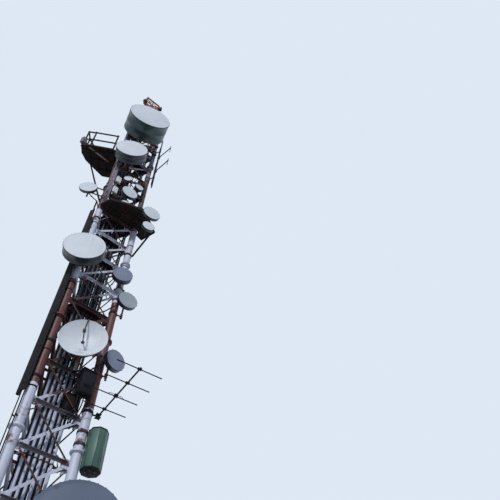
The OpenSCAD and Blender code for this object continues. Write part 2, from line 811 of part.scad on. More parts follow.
// The beam antenna reaches forward from an arm on the right leg
beam_z = level(8) + 0.24 * panel_h;
boom_start = [250, -60];
boom_turn = -5.5;
boom_d = 36;
element_d = 20;
module beam_antenna() {
    l = leg_point(1, beam_z);
    p = [l.x + boom_start.x, l.y + boom_start.y, beam_z];
    color("dimgray") {
        arm(1, beam_z, p, boom_d);
        translate(p)
            rotate([0, 0, boom_turn]) {
                translate([-boom_d, -boom_d, -boom_d])
                    cube([2 * boom_d, 2 * boom_d, 2 * boom_d]);
                rod([0, 0, 0], [0, -boom_len, 0], boom_d);
                for (k = [0 : 3])
                    translate([-element_len / 2, -boom_len * (0.16 + 0.27 * k), 0])
                        rotate([0, 90, 0])
                            cylinder(h = element_len, d = element_d, $fn = 16);
            }
    }
}

prism_at = [1780, -225, 8080];
prism_arms = [8740, 9060];
module prism_antenna() {
    color("darkseagreen") {
        translate(prism_at)
            rotate([0, 0, 22.5])
                cylinder(h = prism_h, d = prism_w / cos(22.5), $fn = 8);
        for (z = prism_arms)
            arm(1, z, prism_at);
    }
}

// Two panel antennas on one pipe beside the left leg
panel_pipe = beside(0, -30, 225, 19000);
panel_z = [18480, 19230];
panel_size = [200, 90, 360];
module panel_antennas() {
    color("whitesmoke") {
        leg_mount(0, panel_pipe, [panel_z[0], panel_z[1] + panel_size.z], [19040], thin_pipe_d);
        for (z = panel_z)
            translate([panel_pipe.x - 0.4 * panel_size.x, panel_pipe.y - 20 - panel_size.y, z])
                cube(panel_size);
    }
}

// Whip antennas on a pipe beside the right leg
whip_pipe = beside(1, -58, 290, 22000);
whip_d = 44;
module whip_antennas() {
    color("dimgray") {
        leg_mount(1, whip_pipe, [20300, 24600], [21100, 23500], thin_pipe_d);
        for (z = [21650, 22900]) {
            rod([whip_pipe.x, whip_pipe.y, z], [whip_pipe.x + 380, whip_pipe.y - 180, z + 1250], whip_d);
            upright([whip_pipe.x + 370, whip_pipe.y - 175], [z + 800, z + 1400], 0.6 * whip_d);
        }
    }
}

// Two cabinets near the right leg: one stands inside on the bar of one level, the
// other hangs outside on the bar of the next
inner_cabinet = [900, 60, 9420];
inner_size = [cabinet_w, 125, 530];
outer_cabinet = [985, -290, 9850];
outer_size = [cabinet_w, 190, 690];
bracket_w = 50;
module equipment_cabinets() {
    in = axis_y + face_y(level(8)) - gusset_t / 2 + lap + seat;
    out = axis_y + face_y(level(9)) - gusset_t / 2 + lap - angle_t - seat;
    color("darkslategray") {
        translate(inner_cabinet)
            cube(inner_size);
        for (x = [0.15, 0.55])
            translate([inner_cabinet.x + x * cabinet_w, in, level(8) - bracket_w / 2])
                cube([bracket_w, inner_cabinet.y + inner_size.y / 2 - in, inner_cabinet.z + bracket_w - level(8)]);
        translate(outer_cabinet)
            cube(outer_size);
        for (x = [0.15, 0.7])
            translate([outer_cabinet.x + x * cabinet_w, outer_cabinet.y + outer_size.y / 2, level(9) - bracket_w + stub_d / 2])
                cube([bracket_w, out - outer_cabinet.y - outer_size.y / 2, bracket_w]);
    }
}

leg(0);  // leg_left
leg(1);  // leg_right
leg(2);  // leg_rear
base_plate(0);  // base_plate_left
base_plate(1);  // base_plate_right
base_plate(2);  // base_plate_rear
front_bracing(0);  // front_bracing_lower
front_bracing(stretch);  // front_bracing_middle
front_bracing(2 * stretch);  // front_bracing_upper
right_bracing(0);  // right_bracing_lower
right_bracing(stretch);  // right_bracing_middle
right_bracing(2 * stretch);  // right_bracing_upper
left_bracing(0);  // left_bracing_lower
left_bracing(stretch);  // left_bracing_middle
left_bracing(2 * stretch);  // left_bracing_upper
ladder();
rack_bars();
feeder_lines();
leg_riser();
upper_platform();
upper_guard_rail();
middle_platform();
antenna_poles();
lower_platform();
top_frame();
beacon_lamps();
top_drum();
top_drum_radome();
upper_drum();
upper_drum_radome();
middle_drum();
middle_drum_radome();
lower_drum();
lower_drum_radome();
open_dish();
open_dish_feed();
cross_rails();
drum_mounts();
small_drums();
small_drum_radomes();
beam_antenna();
prism_antenna();
panel_antennas();
whip_antennas();
equipment_cabinets();
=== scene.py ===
import math

import bmesh
import bpy
from mathutils import Matrix, Vector


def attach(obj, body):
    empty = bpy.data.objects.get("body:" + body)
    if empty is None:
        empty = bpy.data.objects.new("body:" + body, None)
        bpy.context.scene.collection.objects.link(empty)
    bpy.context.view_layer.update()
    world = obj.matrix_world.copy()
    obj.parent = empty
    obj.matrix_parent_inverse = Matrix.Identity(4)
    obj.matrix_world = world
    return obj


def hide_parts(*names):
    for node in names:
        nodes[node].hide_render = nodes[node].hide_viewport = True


# All lengths are metres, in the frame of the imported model.
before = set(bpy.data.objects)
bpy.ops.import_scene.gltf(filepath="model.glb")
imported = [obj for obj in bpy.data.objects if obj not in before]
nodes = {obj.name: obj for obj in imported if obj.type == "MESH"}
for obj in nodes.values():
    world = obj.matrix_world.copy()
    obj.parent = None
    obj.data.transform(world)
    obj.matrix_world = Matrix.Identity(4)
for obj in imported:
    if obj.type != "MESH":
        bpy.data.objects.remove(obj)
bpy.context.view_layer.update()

# the mast's own sizes, the same as in the part
mast = {
    "panel": 1.13, "baseLevel": 0.3, "panels": 23, "baseFace": 1.525, "topFace": 1.338,
    "lowerLeg": 0.12, "middleLeg": 0.11, "upperLeg": 0.095, "legTop": 26.54,
    "flangeRise": 0.34, "flangeOut": 0.05, "flangeHalf": 0.02,
}
towerHeight = mast["baseLevel"] + mast["panels"] * mast["panel"]
axisPoint = Vector((mast["baseFace"] / 2, mast["baseFace"] / (2 * math.sqrt(3)), 0))
legDegrees = (210, 330, 90)
deckLevels = (11, 15, 19)
corners = ((-1, -1), (-1, 1), (1, -1), (1, 1))


def rise(z):
    return Vector((0, 0, z))


def shift(x, y, z):
    return Matrix.Translation((x, y, z))


def spin(degrees, axis):
    return Matrix.Rotation(math.radians(degrees), 4, axis)


def heading(degrees):
    return Vector((math.cos(math.radians(degrees)), math.sin(math.radians(degrees)), 0))


def bearing(a, b):
    return math.degrees(math.atan2(b[1] - a[1], b[0] - a[0]))


def facing(point, degrees):
    return Matrix.Translation(point) @ spin(degrees, "Z")


def upright(point):
    # stands up a shape that is turned about X
    return Matrix.Translation(point) @ spin(-90, "Y")


def level(n):
    return mast["baseLevel"] + n * mast["panel"]


def flangeZ(n):
    return level(n) + mast["flangeRise"]


def faceAt(z):
    return mast["baseFace"] + (mast["topFace"] - mast["baseFace"]) * z / towerHeight


def faceY(z):
    return -faceAt(z) / (2 * math.sqrt(3))


def legRadius(z):
    if z < flangeZ(10):
        return mast["lowerLeg"]
    return mast["middleLeg"] if z < flangeZ(16) else mast["upperLeg"]


def legPoint(i, z):
    return axisPoint + heading(legDegrees[i]) * (faceAt(z) / math.sqrt(3)) + rise(z)


def beside(i, degrees, reach, z):
    return legPoint(i, z) + heading(degrees) * reach


def onFace(i, x, y, z):
    return axisPoint + spin(120 * i, "Z") @ Vector((x, y, z))


# materials: colours are written as they look on screen, from 0 to 255
def linear(colour):
    shares = [c / 255 for c in colour]
    return (*(c / 12.92 if c < 0.04045 else ((c + 0.055) / 1.055) ** 2.4 for c in shares), 1)


def fill(tree, node, inputs):
    # each input gets a value, or a link from another node
    for key, value in inputs.items():
        if isinstance(value, bpy.types.NodeSocket):
            tree.links.new(value, node.inputs[key])
        else:
            node.inputs[key].default_value = value


def addNode(tree, kind, inputs={}, **settings):
    node = tree.nodes.new("ShaderNode" + kind)
    node.location = (200 * len(tree.nodes), 0)
    for key, value in settings.items():
        setattr(node, key, value)
    fill(tree, node, inputs)
    return node


def addMaths(tree, operation, *values, **settings):
    return addNode(tree, "Math", dict(enumerate(values)), operation=operation, **settings).outputs[0]


def addNoise(tree, place, scale, detail, **more):
    inputs = {"Vector": place, "Scale": scale, "Detail": detail, **more}
    return addNode(tree, "TexNoise", inputs).outputs["Fac"]


def addRange(tree, value, low, high, most=1):
    limits = {"Value": value, "From Min": low, "From Max": high, "To Max": most}
    return addNode(tree, "MapRange", limits).outputs["Result"]


def addMix(tree, factor, a, b, blend="MIX"):
    inputs = {"Factor": factor, "A": a, "B": b}
    return addNode(tree, "Mix", inputs, data_type="RGBA", blend_type=blend).outputs["Result"]


def addRamp(tree, value, stops, interpolation="LINEAR"):
    node = addNode(tree, "ValToRGB", {"Fac": value})
    node.color_ramp.interpolation = interpolation
    elements = node.color_ramp.elements
    elements.remove(elements[-1])
    elements[0].position = stops[0][0]
    elements[0].color = linear(stops[0][1])
    for position, colour in stops[1:]:
        elements.new(position).color = linear(colour)
    return node.outputs["Color"]


def makeWeatherGroup():
    # masks for rust and for dirt that runs down, and a fine height for bump
    group = bpy.data.node_groups.new("weathering", "ShaderNodeTree")
    for way, names in (("INPUT", ("Rust", "Dirt")), ("OUTPUT", ("Rust", "Dirt", "Height"))):
        for name in names:
            group.interface.new_socket(name=name, in_out=way, socket_type="NodeSocketFloat")
    ins, outs = group.nodes.new("NodeGroupInput"), group.nodes.new("NodeGroupOutput")
    place = addNode(group, "TexCoord").outputs["Object"]
    drawnDown = addNode(group, "Mapping", {"Vector": place, "Scale": (9, 9, 0.55)}).outputs[0]
    patches = addNoise(group, place, 2.2, 8, Roughness=0.68)
    streaks = addNoise(group, drawnDown, 1, 5)
    grain = addNoise(group, place, 42, 3)
    for name, noise, low, high in (("Rust", patches, 0.62, 0.70), ("Dirt", streaks, 0.70, 0.95)):
        # the more of it is wanted, the lower the noise has to be
        shifted = addMaths(group, "MULTIPLY_ADD", ins.outputs[name], 0.3, noise)
        fill(group, outs, {name: addRange(group, shifted, low, high)})
    fill(group, outs, {"Height": addMaths(group, "MULTIPLY_ADD", patches, 0.6, grain)})
    return group


weathering = makeWeatherGroup()


def startMaterial(name, look):
    material = bpy.data.materials.new(name)
    material.use_nodes = True
    shader = material.node_tree.nodes["Principled BSDF"]
    fill(material.node_tree, shader, {"Roughness": look["roughness"], "Metallic": look.get("metallic", 0),
                                      "Specular IOR Level": look.get("specular", 0.5)})
    return material, material.node_tree, shader


def makeMaterial(name, look, colouring):
    # dirt and rust lie over the colour, and the same masks give roughness and bump
    material, tree, shader = startMaterial(name, look)
    colour = colouring(tree, addNode(tree, "TexCoord").outputs["Object"], look)
    masks = {"Rust": look["rust"], "Dirt": look["dirt"]}
    weather = addNode(tree, "Group", masks, node_tree=weathering).outputs
    dirt = addMaths(tree, "MULTIPLY", weather["Dirt"], look.get("dirtStrength", 0.5))
    rust = addMaths(tree, "MULTIPLY", weather["Rust"], look.get("rustStrength", 0.85))
    dirty = addMix(tree, dirt, colour, linear(look.get("dirtColour", (95, 88, 84))), "MULTIPLY")
    rusty = addMix(tree, rust, dirty, linear(look.get("rustColour", (92, 48, 30))))
    rough = addNode(tree, "MapRange", {"Value": weather["Rust"], "To Min": look["roughness"],
                                       "To Max": min(1, look["roughness"] + 0.3)})
    bump = addNode(tree, "Bump", {"Strength": look.get("bump", 0.25), "Distance": 0.004,
                                  "Height": weather["Height"]})
    fill(tree, shader, {"Base Color": rusty, "Roughness": rough.outputs["Result"],
                        "Normal": bump.outputs["Normal"]})
    return material


def clouded(tree, place, look):
    stops = ((0.35, look["colour"]), (0.7, look["second"]))
    return addRamp(tree, addNoise(tree, place, look["cloud"], 6), stops)


def heightIn(tree, place):
    return addNode(tree, "SeparateXYZ", {0: place}).outputs["Z"]


def banded(tree, place, look):
    # warning bands that change with height, a little uneven at their edges and faded in patches
    height = heightIn(tree, place)
    uneven = addMaths(tree, "MULTIPLY_ADD", addNoise(tree, place, 9, 2), 0.05, height)
    stops = [(z / look["top"], look[tone]) for z, tone in look["bands"]]
    bands = addRamp(tree, addMaths(tree, "DIVIDE", uneven, look["top"]), stops, "CONSTANT")
    fade = addRange(tree, addNoise(tree, place, 1.1, 7), 0.45, 0.75, look["fade"])
    faded = addMix(tree, fade, bands, linear(look["fadeColour"]))
    # the level bars of the lower bands have lost their paint
    above = addMaths(tree, "SUBTRACT", height, mast["baseLevel"])
    atBar = addRange(tree, addMaths(tree, "PINGPONG", above, mast["panel"] / 2), 0.060, 0.040)
    low = addRange(tree, height, 14, 11, look["levelRust"])
    return addMix(tree, addMaths(tree, "MULTIPLY", atBar, low), faded, linear(look["wornColour"]))


def paleLow(tree, place, look):
    # jackets that are pale near the ground and dark higher up
    uneven = addMaths(tree, "MULTIPLY_ADD", addNoise(tree, place, 2.4, 5), 3, heightIn(tree, place))
    share = addRange(tree, uneven, look["paleTo"] + 1.5, look["darkFrom"] + 1.5)
    return addRamp(tree, share, ((0, look["paleLow"]), (0.5, look["between"]), (1, look["dark"])))


def paint(colour, second, roughness, rust, dirt, cloud, **more):
    return {"colour": colour, "second": second, "roughness": roughness, "rust": rust, "dirt": dirt,
            "cloud": cloud, **more}


def cloth(colour, second, dirt, strength, dirtColour):
    return paint(colour, second, 0.6, 0, dirt, 1.2, dirtStrength=strength, rustStrength=0.05,
                 dirtColour=dirtColour, bump=0.08)


# the red is darker than its real paint, as painted shade on the back-lit mast; the band from 17.2 takes a
# darker copy of the red and the band from 20.95 a dusky copy of the white, as painted shade, the white's
# under the top drum
mastBands = {
    "top": 30, "roughness": 0.5, "rust": 0.22, "dirt": 0.5, "dirtStrength": 0.45, "levelRust": 0, "fade": 0.3,
    "fadeColour": (120, 104, 108), "wornColour": (64, 48, 50), "white": (206, 210, 228), "red": (84, 34, 33),
    "topRed": (160, 66, 44), "shadedRed": (62, 34, 38), "shadedWhite": (118, 114, 136),
    "bands": [(0, "white"), (2.2, "red"), (5.95, "white"), (9.7, "red"), (13.45, "white"),
              (17.2, "shadedRed"), (20.95, "shadedWhite"), (24.7, "topRed")],
}
feederLook = {
    "paleLow": (192, 198, 222), "between": (128, 133, 158), "dark": (50, 52, 68), "paleTo": 8.6,
    "darkFrom": 11.4, "roughness": 0.5, "rust": 0.03, "dirt": 0.7, "rustStrength": 0.3,
}
# two colours, then roughness, how much rust and dirt, and how small the clouds of colour are
paints = {
    "galvanised": paint((96, 94, 100), (64, 62, 68), 0.5, 0.38, 0.5, 3, metallic=0.4),
    "rustySteel": paint((70, 44, 38), (38, 28, 28), 0.75, 0.55, 0.7, 5, metallic=0.1, bump=0.5),
    "decking": paint((34, 26, 26), (22, 18, 20), 0.85, 0.28, 0.8, 2.5, rustColour=(62, 34, 26), bump=0.5,
                     specular=0.25),
    "darkPaint": paint((46, 48, 57), (29, 30, 38), 0.5, 0.15, 0.6, 2, specular=0.3),
    # the drum shells' paint is darker than the real paint, as painted shade on the back-lit shells
    "shadedDrumPaint": paint((50, 61, 70), (29, 37, 46), 0.34, 0.02, 0.75, 1.2, dirtStrength=0.6,
                       dirtColour=(60, 64, 66)),
    "topDrumPaint": paint((60, 90, 92), (34, 56, 60), 0.28, 0, 0.8, 1.1, dirtStrength=0.55,
                          dirtColour=(60, 80, 72)),
    "slatePaint": paint((80, 93, 118), (64, 76, 100), 0.6, 0.02, 0.5, 1, dirtStrength=0.3),
    "radomeCloth": cloth((216, 222, 230), (202, 210, 220), 0.4, 0.16, (140, 146, 152)),
    # darker copies of the white radome cloth, as painted shade on some small drums' covers
    "shadedCloth": cloth((128, 136, 158), (108, 116, 140), 0.5, 0.25, (110, 112, 120)),
    "halfShadedCloth": cloth((168, 176, 186), (146, 156, 166), 0.5, 0.25, (120, 124, 128)),
    # dark flat bars, partly worn bare steel and partly painted shade on the counter diagonals
    "wornAndShadedFlat": paint((58, 48, 56), (38, 30, 36), 0.65, 0.4, 0.6, 4),
    "slatPaint": paint((148, 98, 88), (112, 62, 54), 0.55, 0.4, 0.5, 5),
    "whitePaint": paint((222, 226, 232), (206, 212, 222), 0.45, 0.02, 0.45, 1.4, dirtStrength=0.22,
                        rustStrength=0.3),
    "prismPaint": paint((64, 100, 88), (46, 78, 72), 0.36, 0.03, 0.6, 1.3, dirtStrength=0.45,
                        dirtColour=(50, 66, 58)),
    "darkJacket": paint((24, 24, 31), (14, 14, 20), 0.7, 0.02, 0.5, 2, rustStrength=0.3, specular=0.2),
    "whitePlastic": paint((222, 222, 226), (204, 204, 210), 0.4, 0.02, 0.45, 2, dirtStrength=0.3),
    "redPaint": paint((182, 62, 34), (140, 44, 28), 0.5, 0.35, 0.5, 3),
    "railPaint": paint((36, 33, 38), (22, 20, 24), 0.6, 0.25, 0.6, 3, rustColour=(66, 40, 32), specular=0.2),
    "paleBar": paint((158, 132, 124), (122, 92, 82), 0.6, 0.4, 0.6, 4),
    "conduit": paint((160, 148, 164), (122, 108, 124), 0.5, 0.25, 0.6, 4, metallic=0.2),
    "boxPaint": paint((128, 122, 136), (98, 92, 106), 0.5, 0.2, 0.6, 4),
    "feedPaint": paint((74, 56, 48), (44, 36, 34), 0.5, 0.3, 0.5, 6),
    "lampGlass": paint((64, 14, 14), (40, 8, 10), 0.12, 0, 0.4, 5, dirtStrength=0.3, bump=0.05),
    "cabinetPaint": paint((27, 27, 32), (16, 16, 20), 0.6, 0.12, 0.6, 3, rustColour=(48, 30, 24),
                          specular=0.15),
    "prismCap": paint((16, 22, 25), (11, 15, 18), 0.6, 0.03, 0.6, 2, specular=0.15),
}
# the bracing takes a still darker copy of the red than the legs, as painted shade
bracingBands = {**mastBands, "levelRust": 0.85, "rust": 0.3, "red": (62, 30, 32)}
materials = {name: makeMaterial(name, look, clouded) for name, look in paints.items()}
materials["bandedPaint"] = makeMaterial("bandedPaint", mastBands, banded)
materials["bracingPaint"] = makeMaterial("bracingPaint", bracingBands, banded)
materials["feederJacket"] = makeMaterial("feederJacket", feederLook, paleLow)
print("materials made:", len(materials))

nodeFinish = {
    "bandedPaint": ["leg_left", "leg_right", "leg_rear"],
    "bracingPaint": [n for n in nodes if "bracing" in n],
    "galvanised": ["base_plate_left", "base_plate_right", "base_plate_rear", "ladder", "drum_mounts",
                   "upper_guard_rail", "antenna_poles", "whip_antennas"],
    "rustySteel": ["rack_bars", "cross_rails"],
    "decking": ["upper_platform", "middle_platform", "lower_platform"],
    "feederJacket": ["feeder_lines"],
    "darkJacket": ["leg_riser", "beam_antenna", "open_dish_feed"],
    "redPaint": ["top_frame", "beacon_lamps"],
    "topDrumPaint": ["top_drum"],
    "shadedDrumPaint": ["upper_drum", "middle_drum", "small_drums"],
    "slatePaint": ["lower_drum", "lower_drum_radome"],
    "radomeCloth": ["top_drum_radome", "upper_drum_radome", "middle_drum_radome", "small_drum_radomes"],
    "whitePaint": ["open_dish"],
    "prismPaint": ["prism_antenna"],
    "whitePlastic": ["panel_antennas"],
    "cabinetPaint": ["equipment_cabinets"],
}
for finish, names in nodeFinish.items():
    for name in names:
        for slotPlace in nodes[name].material_slots:
            slotPlace.material = materials[finish]
print("frame nodes painted:", sum(len(v) for v in nodeFinish.values()), "of", len(nodes))


# shapes
def aimed(point, direction):
    # Z runs along the direction
    return Matrix.Translation(point) @ direction.to_track_quat("Z", "Y").to_matrix().to_4x4()


def addRod(bm, a, b, radius, sides=8, endRadius=None, place=Matrix()):
    a, b = place @ Vector(a), place @ Vector(b)
    bmesh.ops.create_cone(bm, cap_ends=True, segments=sides, radius1=radius, radius2=endRadius or radius,
                          depth=(b - a).length, matrix=aimed(a.lerp(b, 0.5), b - a))


def addPost(bm, at, low, high, radius, sides=8):
    addRod(bm, (at[0], at[1], low), (at[0], at[1], high), radius, sides)


def addPin(bm, foot, step, radius, sides=6, place=Matrix()):
    addRod(bm, foot, Vector(foot) + Vector(step), radius, sides, None, place)


def addPart(bm, part, place):
    # a shape that was made by itself is cleaned, put in place and joined to the piece
    bmesh.ops.remove_doubles(part, verts=part.verts, dist=1e-5)
    bmesh.ops.transform(part, matrix=place, verts=part.verts)
    bmesh.ops.recalc_face_normals(part, faces=part.faces)
    mesh = bpy.data.meshes.new("part")
    part.to_mesh(mesh)
    part.free()
    bm.from_mesh(mesh)
    bpy.data.meshes.remove(mesh)


def bevel(part, edges, offset, segments):
    bmesh.ops.bevel(part, geom=edges, offset=offset, affect="EDGES", segments=segments, profile=0.5,
                    material=-1)


def addBlock(bm, place, size, edge=0, at=(0, 0, 0), segments=None):
    # narrow edges get one cut, wider ones two
    part = bmesh.new()
    bmesh.ops.create_cube(part, size=1, matrix=Matrix.Diagonal((*size, 1)))
    if edge:
        bevel(part, part.edges[:], edge, segments or (1 if edge < 0.0045 else 2))
    addPart(bm, part, place @ Matrix.Translation(at))


def addTurned(bm, profile, place, steps=48, closed=False):
    # profile is (along, radius), turned about the X axis of place
    part = bmesh.new()
    ring = [part.verts.new((x, 0, r)) for x, r in profile]
    edges = [part.edges.new(pair) for pair in zip(ring, ring[1:])]
    if closed:
        edges.append(part.edges.new((ring[-1], ring[0])))
    bmesh.ops.spin(part, geom=ring + edges, cent=(0, 0, 0), axis=(1, 0, 0), angle=math.tau, steps=steps,
                   use_merge=True)
    addPart(bm, part, place)


def addRing(bm, place, half, inner, outer, steps=48):
    addTurned(bm, [(-half, inner), (-half, outer), (half, outer), (half, inner)], place, steps, True)


def addTube(bm, points, radius, sides=8, steps=1, place=Matrix()):
    # a tube along a curve that passes through every point
    points = [place @ Vector(p) for p in points]
    ends = [2 * points[0] - points[1]] + points + [2 * points[-1] - points[-2]]
    path = []
    for a, b, c, d in zip(ends, ends[1:], ends[2:], ends[3:]):
        for t in (k / steps for k in range(steps)):
            path.append(0.5 * (2 * b + t * (c - a) + t * t * (2 * a - 5 * b + 4 * c - d)
                               + t * t * t * (3 * b - a - 3 * c + d)))
    path.append(points[-1])
    part = bmesh.new()
    before = None
    for k, point in enumerate(path):
        ahead = path[min(k + 1, len(path) - 1)] - path[max(k - 1, 0)]
        ring = bmesh.ops.create_circle(part, segments=sides, radius=radius,
                                       matrix=aimed(point, ahead))["verts"]
        loop = list({edge for vert in ring for edge in vert.link_edges})
        if before:
            bmesh.ops.bridge_loops(part, edges=before + loop)
        before = [edge for edge in loop if edge.is_valid]
    bmesh.ops.holes_fill(part, edges=part.edges[:], sides=sides)
    addPart(bm, part, Matrix())


def addStrip(bm, a, b, thick, high, z):
    a, b = Vector((a.x, a.y, z)), Vector((b.x, b.y, z))
    addBlock(bm, facing((a + b) / 2, bearing(a, b)), ((b - a).length, thick, high))


def finishPiece(bm, name, material, smooth=False, replaces=()):
    mesh = bpy.data.meshes.new(name)
    bm.normal_update()
    bm.to_mesh(mesh)
    bm.free()
    piece = bpy.data.objects.new(name, mesh)
    bpy.context.scene.collection.objects.link(piece)
    mesh.materials.append(materials[material])
    for polygon in mesh.polygons:
        polygon.use_smooth = smooth
    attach(piece, "root")
    if replaces:
        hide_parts(*replaces)


# fixings that several pieces use
smallPipe, largePipe, thinRod = 0.027, 0.045, 0.005
arm = {"radius": 0.023, "bandHigh": 0.07, "bandThick": 0.014, "start": 0.007, "boltSpread": 0.032}
grips = {
    "large": {"pipe": largePipe, "rod": 0.007, "out": 0.058, "thick": 0.022, "high": 0.05, "edge": 0.004},
    "small": {"pipe": smallPipe, "rod": thinRod, "out": 0.036, "thick": 0.016, "high": 0.03, "edge": 0.003},
}


def addUBolt(bm, point, degrees, pipeRadius, rod=0.007):
    # round the back of an upright pipe, with its ends towards the antenna
    r, reach = pipeRadius + rod, pipeRadius + 0.035
    bend = [(-r * math.cos(a), r * math.sin(a), 0) for a in (math.radians(t) for t in range(-90, 91, 30))]
    addTube(bm, [(reach, -r, 0), *bend, (reach, r, 0)], rod, 6, 1, facing(point, degrees))


def addUBolts(bm, at, z, spread, degrees, pipeRadius, rod=0.007):
    for side in (-1, 1):
        addUBolt(bm, (at[0], at[1], z + side * spread), degrees, pipeRadius, rod)


def addGrips(bm, pipe, degrees, spread, wide, kind):
    # two U-bolts, each with a plate towards the antenna
    look = grips[kind]
    addUBolts(bm, pipe, pipe.z, spread, degrees, look["pipe"], look["rod"])
    for side in (-1, 1):
        addBlock(bm, facing(pipe + rise(side * spread), degrees), (look["thick"], wide, look["high"]),
                 look["edge"], (look["out"], 0, 0))


def addClamp(bm, i, z, degrees):
    # a band round a leg, with two ears and their bolts
    centre, high = legPoint(i, z), arm["bandHigh"]
    r = legRadius(z) + 0.0005
    addRing(bm, upright(centre), high / 2, r, r + arm["bandThick"])
    for side in (-1, 1):
        place = facing(centre, degrees + 90 * side) @ shift(r + 0.03, 0, 0)
        addBlock(bm, place, (0.05, 0.036, high * 0.9), 0.003)
        for up in (-0.02, 0.02):
            addPin(bm, (0.005, -0.032, up), (0, 0.064, 0), 0.008, 6, place)


def addArm(bm, i, z, target, radius=arm["radius"]):
    # from a clamp on a leg to the target; gives the way back from the target
    centre = legPoint(i, z)
    degrees = bearing(centre, target)
    addClamp(bm, i, z, degrees)
    start = centre + heading(degrees) * (legRadius(z) + arm["start"])
    addRod(bm, start, (target[0], target[1], z), radius, 24)
    return degrees + 180


def addStay(bm, at, n, wide):
    # from an upright pipe back to a level bar of the front face
    y, z = axisPoint.y + faceY(level(n)) - 0.0125, level(n) - 0.005
    addRod(bm, (at.x, at.y, z), (at.x, y, z), 0.02, 24)
    addBlock(bm, shift(at.x, y - 0.006, z), (wide, 0.010, 0.06), 0.003)


def addPole(bm, foot, long, tip=0.006):
    # an upright pipe with a flat cap
    r, cap, under = smallPipe, smallPipe + 0.003, long - 0.006
    profile = [(0, 0), (0, r), (under, r), (under, cap), (long + 0.004, cap), (long + tip, 0)]
    addTurned(bm, profile, upright(foot), 28)


# bolts on the legs and the bracing, anchors, and the flat bars
legFittings = {"flangeBolts": 10, "topBolts": 8, "boltRadius": 0.011, "headHigh": 0.016, "boltIn": 0.018,
               "underTop": (-0.036, -0.019), "overTop": (0.060, 0.082)}
gussetBolts = {"radius": 0.010, "high": 0.012, "beside": (0.035, 0.085), "aboveLevel": 0.088, "slope": 0.35}
anchors = {"pitch": 0.41, "rod": 0.014, "nut": 0.027, "nutHigh": 0.024, "plateTop": 0.0295, "rodTop": 0.11,
           "washer": 0.034, "washerHigh": 0.005}
flatBars = {"wide": 0.043, "thick": 0.009, "startIn": 0.045, "in": 0.03, "rise": 0.06}


def makeLegFittings():
    bm = bmesh.new()
    radius, head, boltIn = (legFittings[k] for k in ("boltRadius", "headHigh", "boltIn"))
    for i in range(3):
        for n in range(1, mast["panels"], 3):
            z = flangeZ(n)
            centre = legPoint(i, z)
            rim = legRadius(z - 0.01) + mast["flangeOut"]
            for k in range(legFittings["flangeBolts"]):
                spot = centre + heading(36 * k + 10) * (rim - boltIn)
                for side in (-1, 1):
                    addPin(bm, spot + rise(side * mast["flangeHalf"]), rise(side * head), radius)
            # the joint between the two discs, and the weld above and below them
            addRing(bm, upright(centre), 0.0015, rim - 0.004, rim + 0.0015)
            for side in (-1, 1):
                r = legRadius(z + side * 0.03)
                weld = [(side * 0.019, r - 0.002), (side * 0.019, r + 0.012), (side * 0.031, r - 0.002)]
                addTurned(bm, weld, upright(centre), 32, True)
        for k in range(legFittings["topBolts"]):
            reach = mast["upperLeg"] + mast["flangeOut"] - boltIn
            spot = legPoint(i, mast["legTop"]) + heading(45 * k + 10) * reach
            for low, high in (legFittings["underTop"], legFittings["overTop"]):
                addPin(bm, spot + rise(low), rise(high - low), radius)
    finishPiece(bm, "leg_flange_fittings", "bandedPaint")


def makeGussetBolts():
    bm = bmesh.new()
    high, radius, above, slope = (gussetBolts[k] for k in ("high", "radius", "aboveLevel", "slope"))
    for i in range(3):
        for n in range(mast["panels"] + 1):
            z, y = level(n), faceY(level(n))
            inward = faceAt(z) / 2 - legRadius(z) - 0.001
            spots = [(inward - x - 0.03, y - 0.0115, z) for x in gussetBolts["beside"]]
            for way in (-1, 1):
                if 0 <= n + way <= mast["panels"]:
                    spots += [(inward - x, y - 0.0055, z + way * (above + slope * (x - 0.075)))
                              for x in (0.05, 0.1)]
            for side in (-1, 1):
                for x, at, up in spots:
                    addRod(bm, onFace(i, side * x, at, up), onFace(i, side * x, at - high, up), radius, 6)
    finishPiece(bm, "gusset_bolts", "bandedPaint")


def makeAnchors():
    bm = bmesh.new()
    rod, washerHigh, nutHigh = anchors["rod"], anchors["washerHigh"], anchors["nutHigh"]
    for i in range(3):
        for sx, sy in corners:
            foot = legPoint(i, 0) + Vector((sx, sy, 0)) * (anchors["pitch"] / 2)
            plate = foot + rise(anchors["plateTop"])
            addRod(bm, foot + rise(0.002), foot + rise(anchors["rodTop"]), rod, 12, rod * 0.97)
            addPin(bm, plate, rise(washerHigh), anchors["washer"], 20)
            for k in (0, 1):
                addPin(bm, plate + rise(washerHigh + k * (nutHigh + 0.001)), rise(nutHigh), anchors["nut"])
        # weld at the foot of the leg
        addTurned(bm, [(0.0285, 0.1195), (0.0285, 0.136), (0.045, 0.1195)], upright(legPoint(i, 0)), 40, True)
    finishPiece(bm, "anchor_rods", "galvanised")


def makeFlatBars():
    bm = bmesh.new()
    def barX(n):
        return faceAt(level(n)) / 2 - legRadius(level(n)) - flatBars["startIn"]
    for i in range(3):
        out = heading(120 * i - 90)
        for n in range(mast["panels"]):
            # the first panel of a stretch has its bar outside the gussets below
            y = faceY(level(n)) - 0.0095 if n in (8, 16) else faceY(level(n + 1)) - 0.007
            a = onFace(i, barX(n) - flatBars["in"], y, level(n) + flatBars["rise"])
            b = onFace(i, flatBars["in"] - barX(n + 1), y, level(n + 1) - flatBars["rise"])
            along = (b - a).normalized()
            turned = Matrix((along, out, along.cross(out))).transposed().to_4x4()
            addBlock(bm, Matrix.Translation((a + b) / 2) @ turned,
                     ((b - a).length, flatBars["thick"], flatBars["wide"]))
            for share in (0.008, 0.992):
                addPin(bm, a.lerp(b, share), out * 0.016, 0.011)
    finishPiece(bm, "flat_bars", "wornAndShadedFlat")


makeLegFittings()
makeGussetBolts()
makeFlatBars()
makeAnchors()
print("bolts, flanges and anchors made")

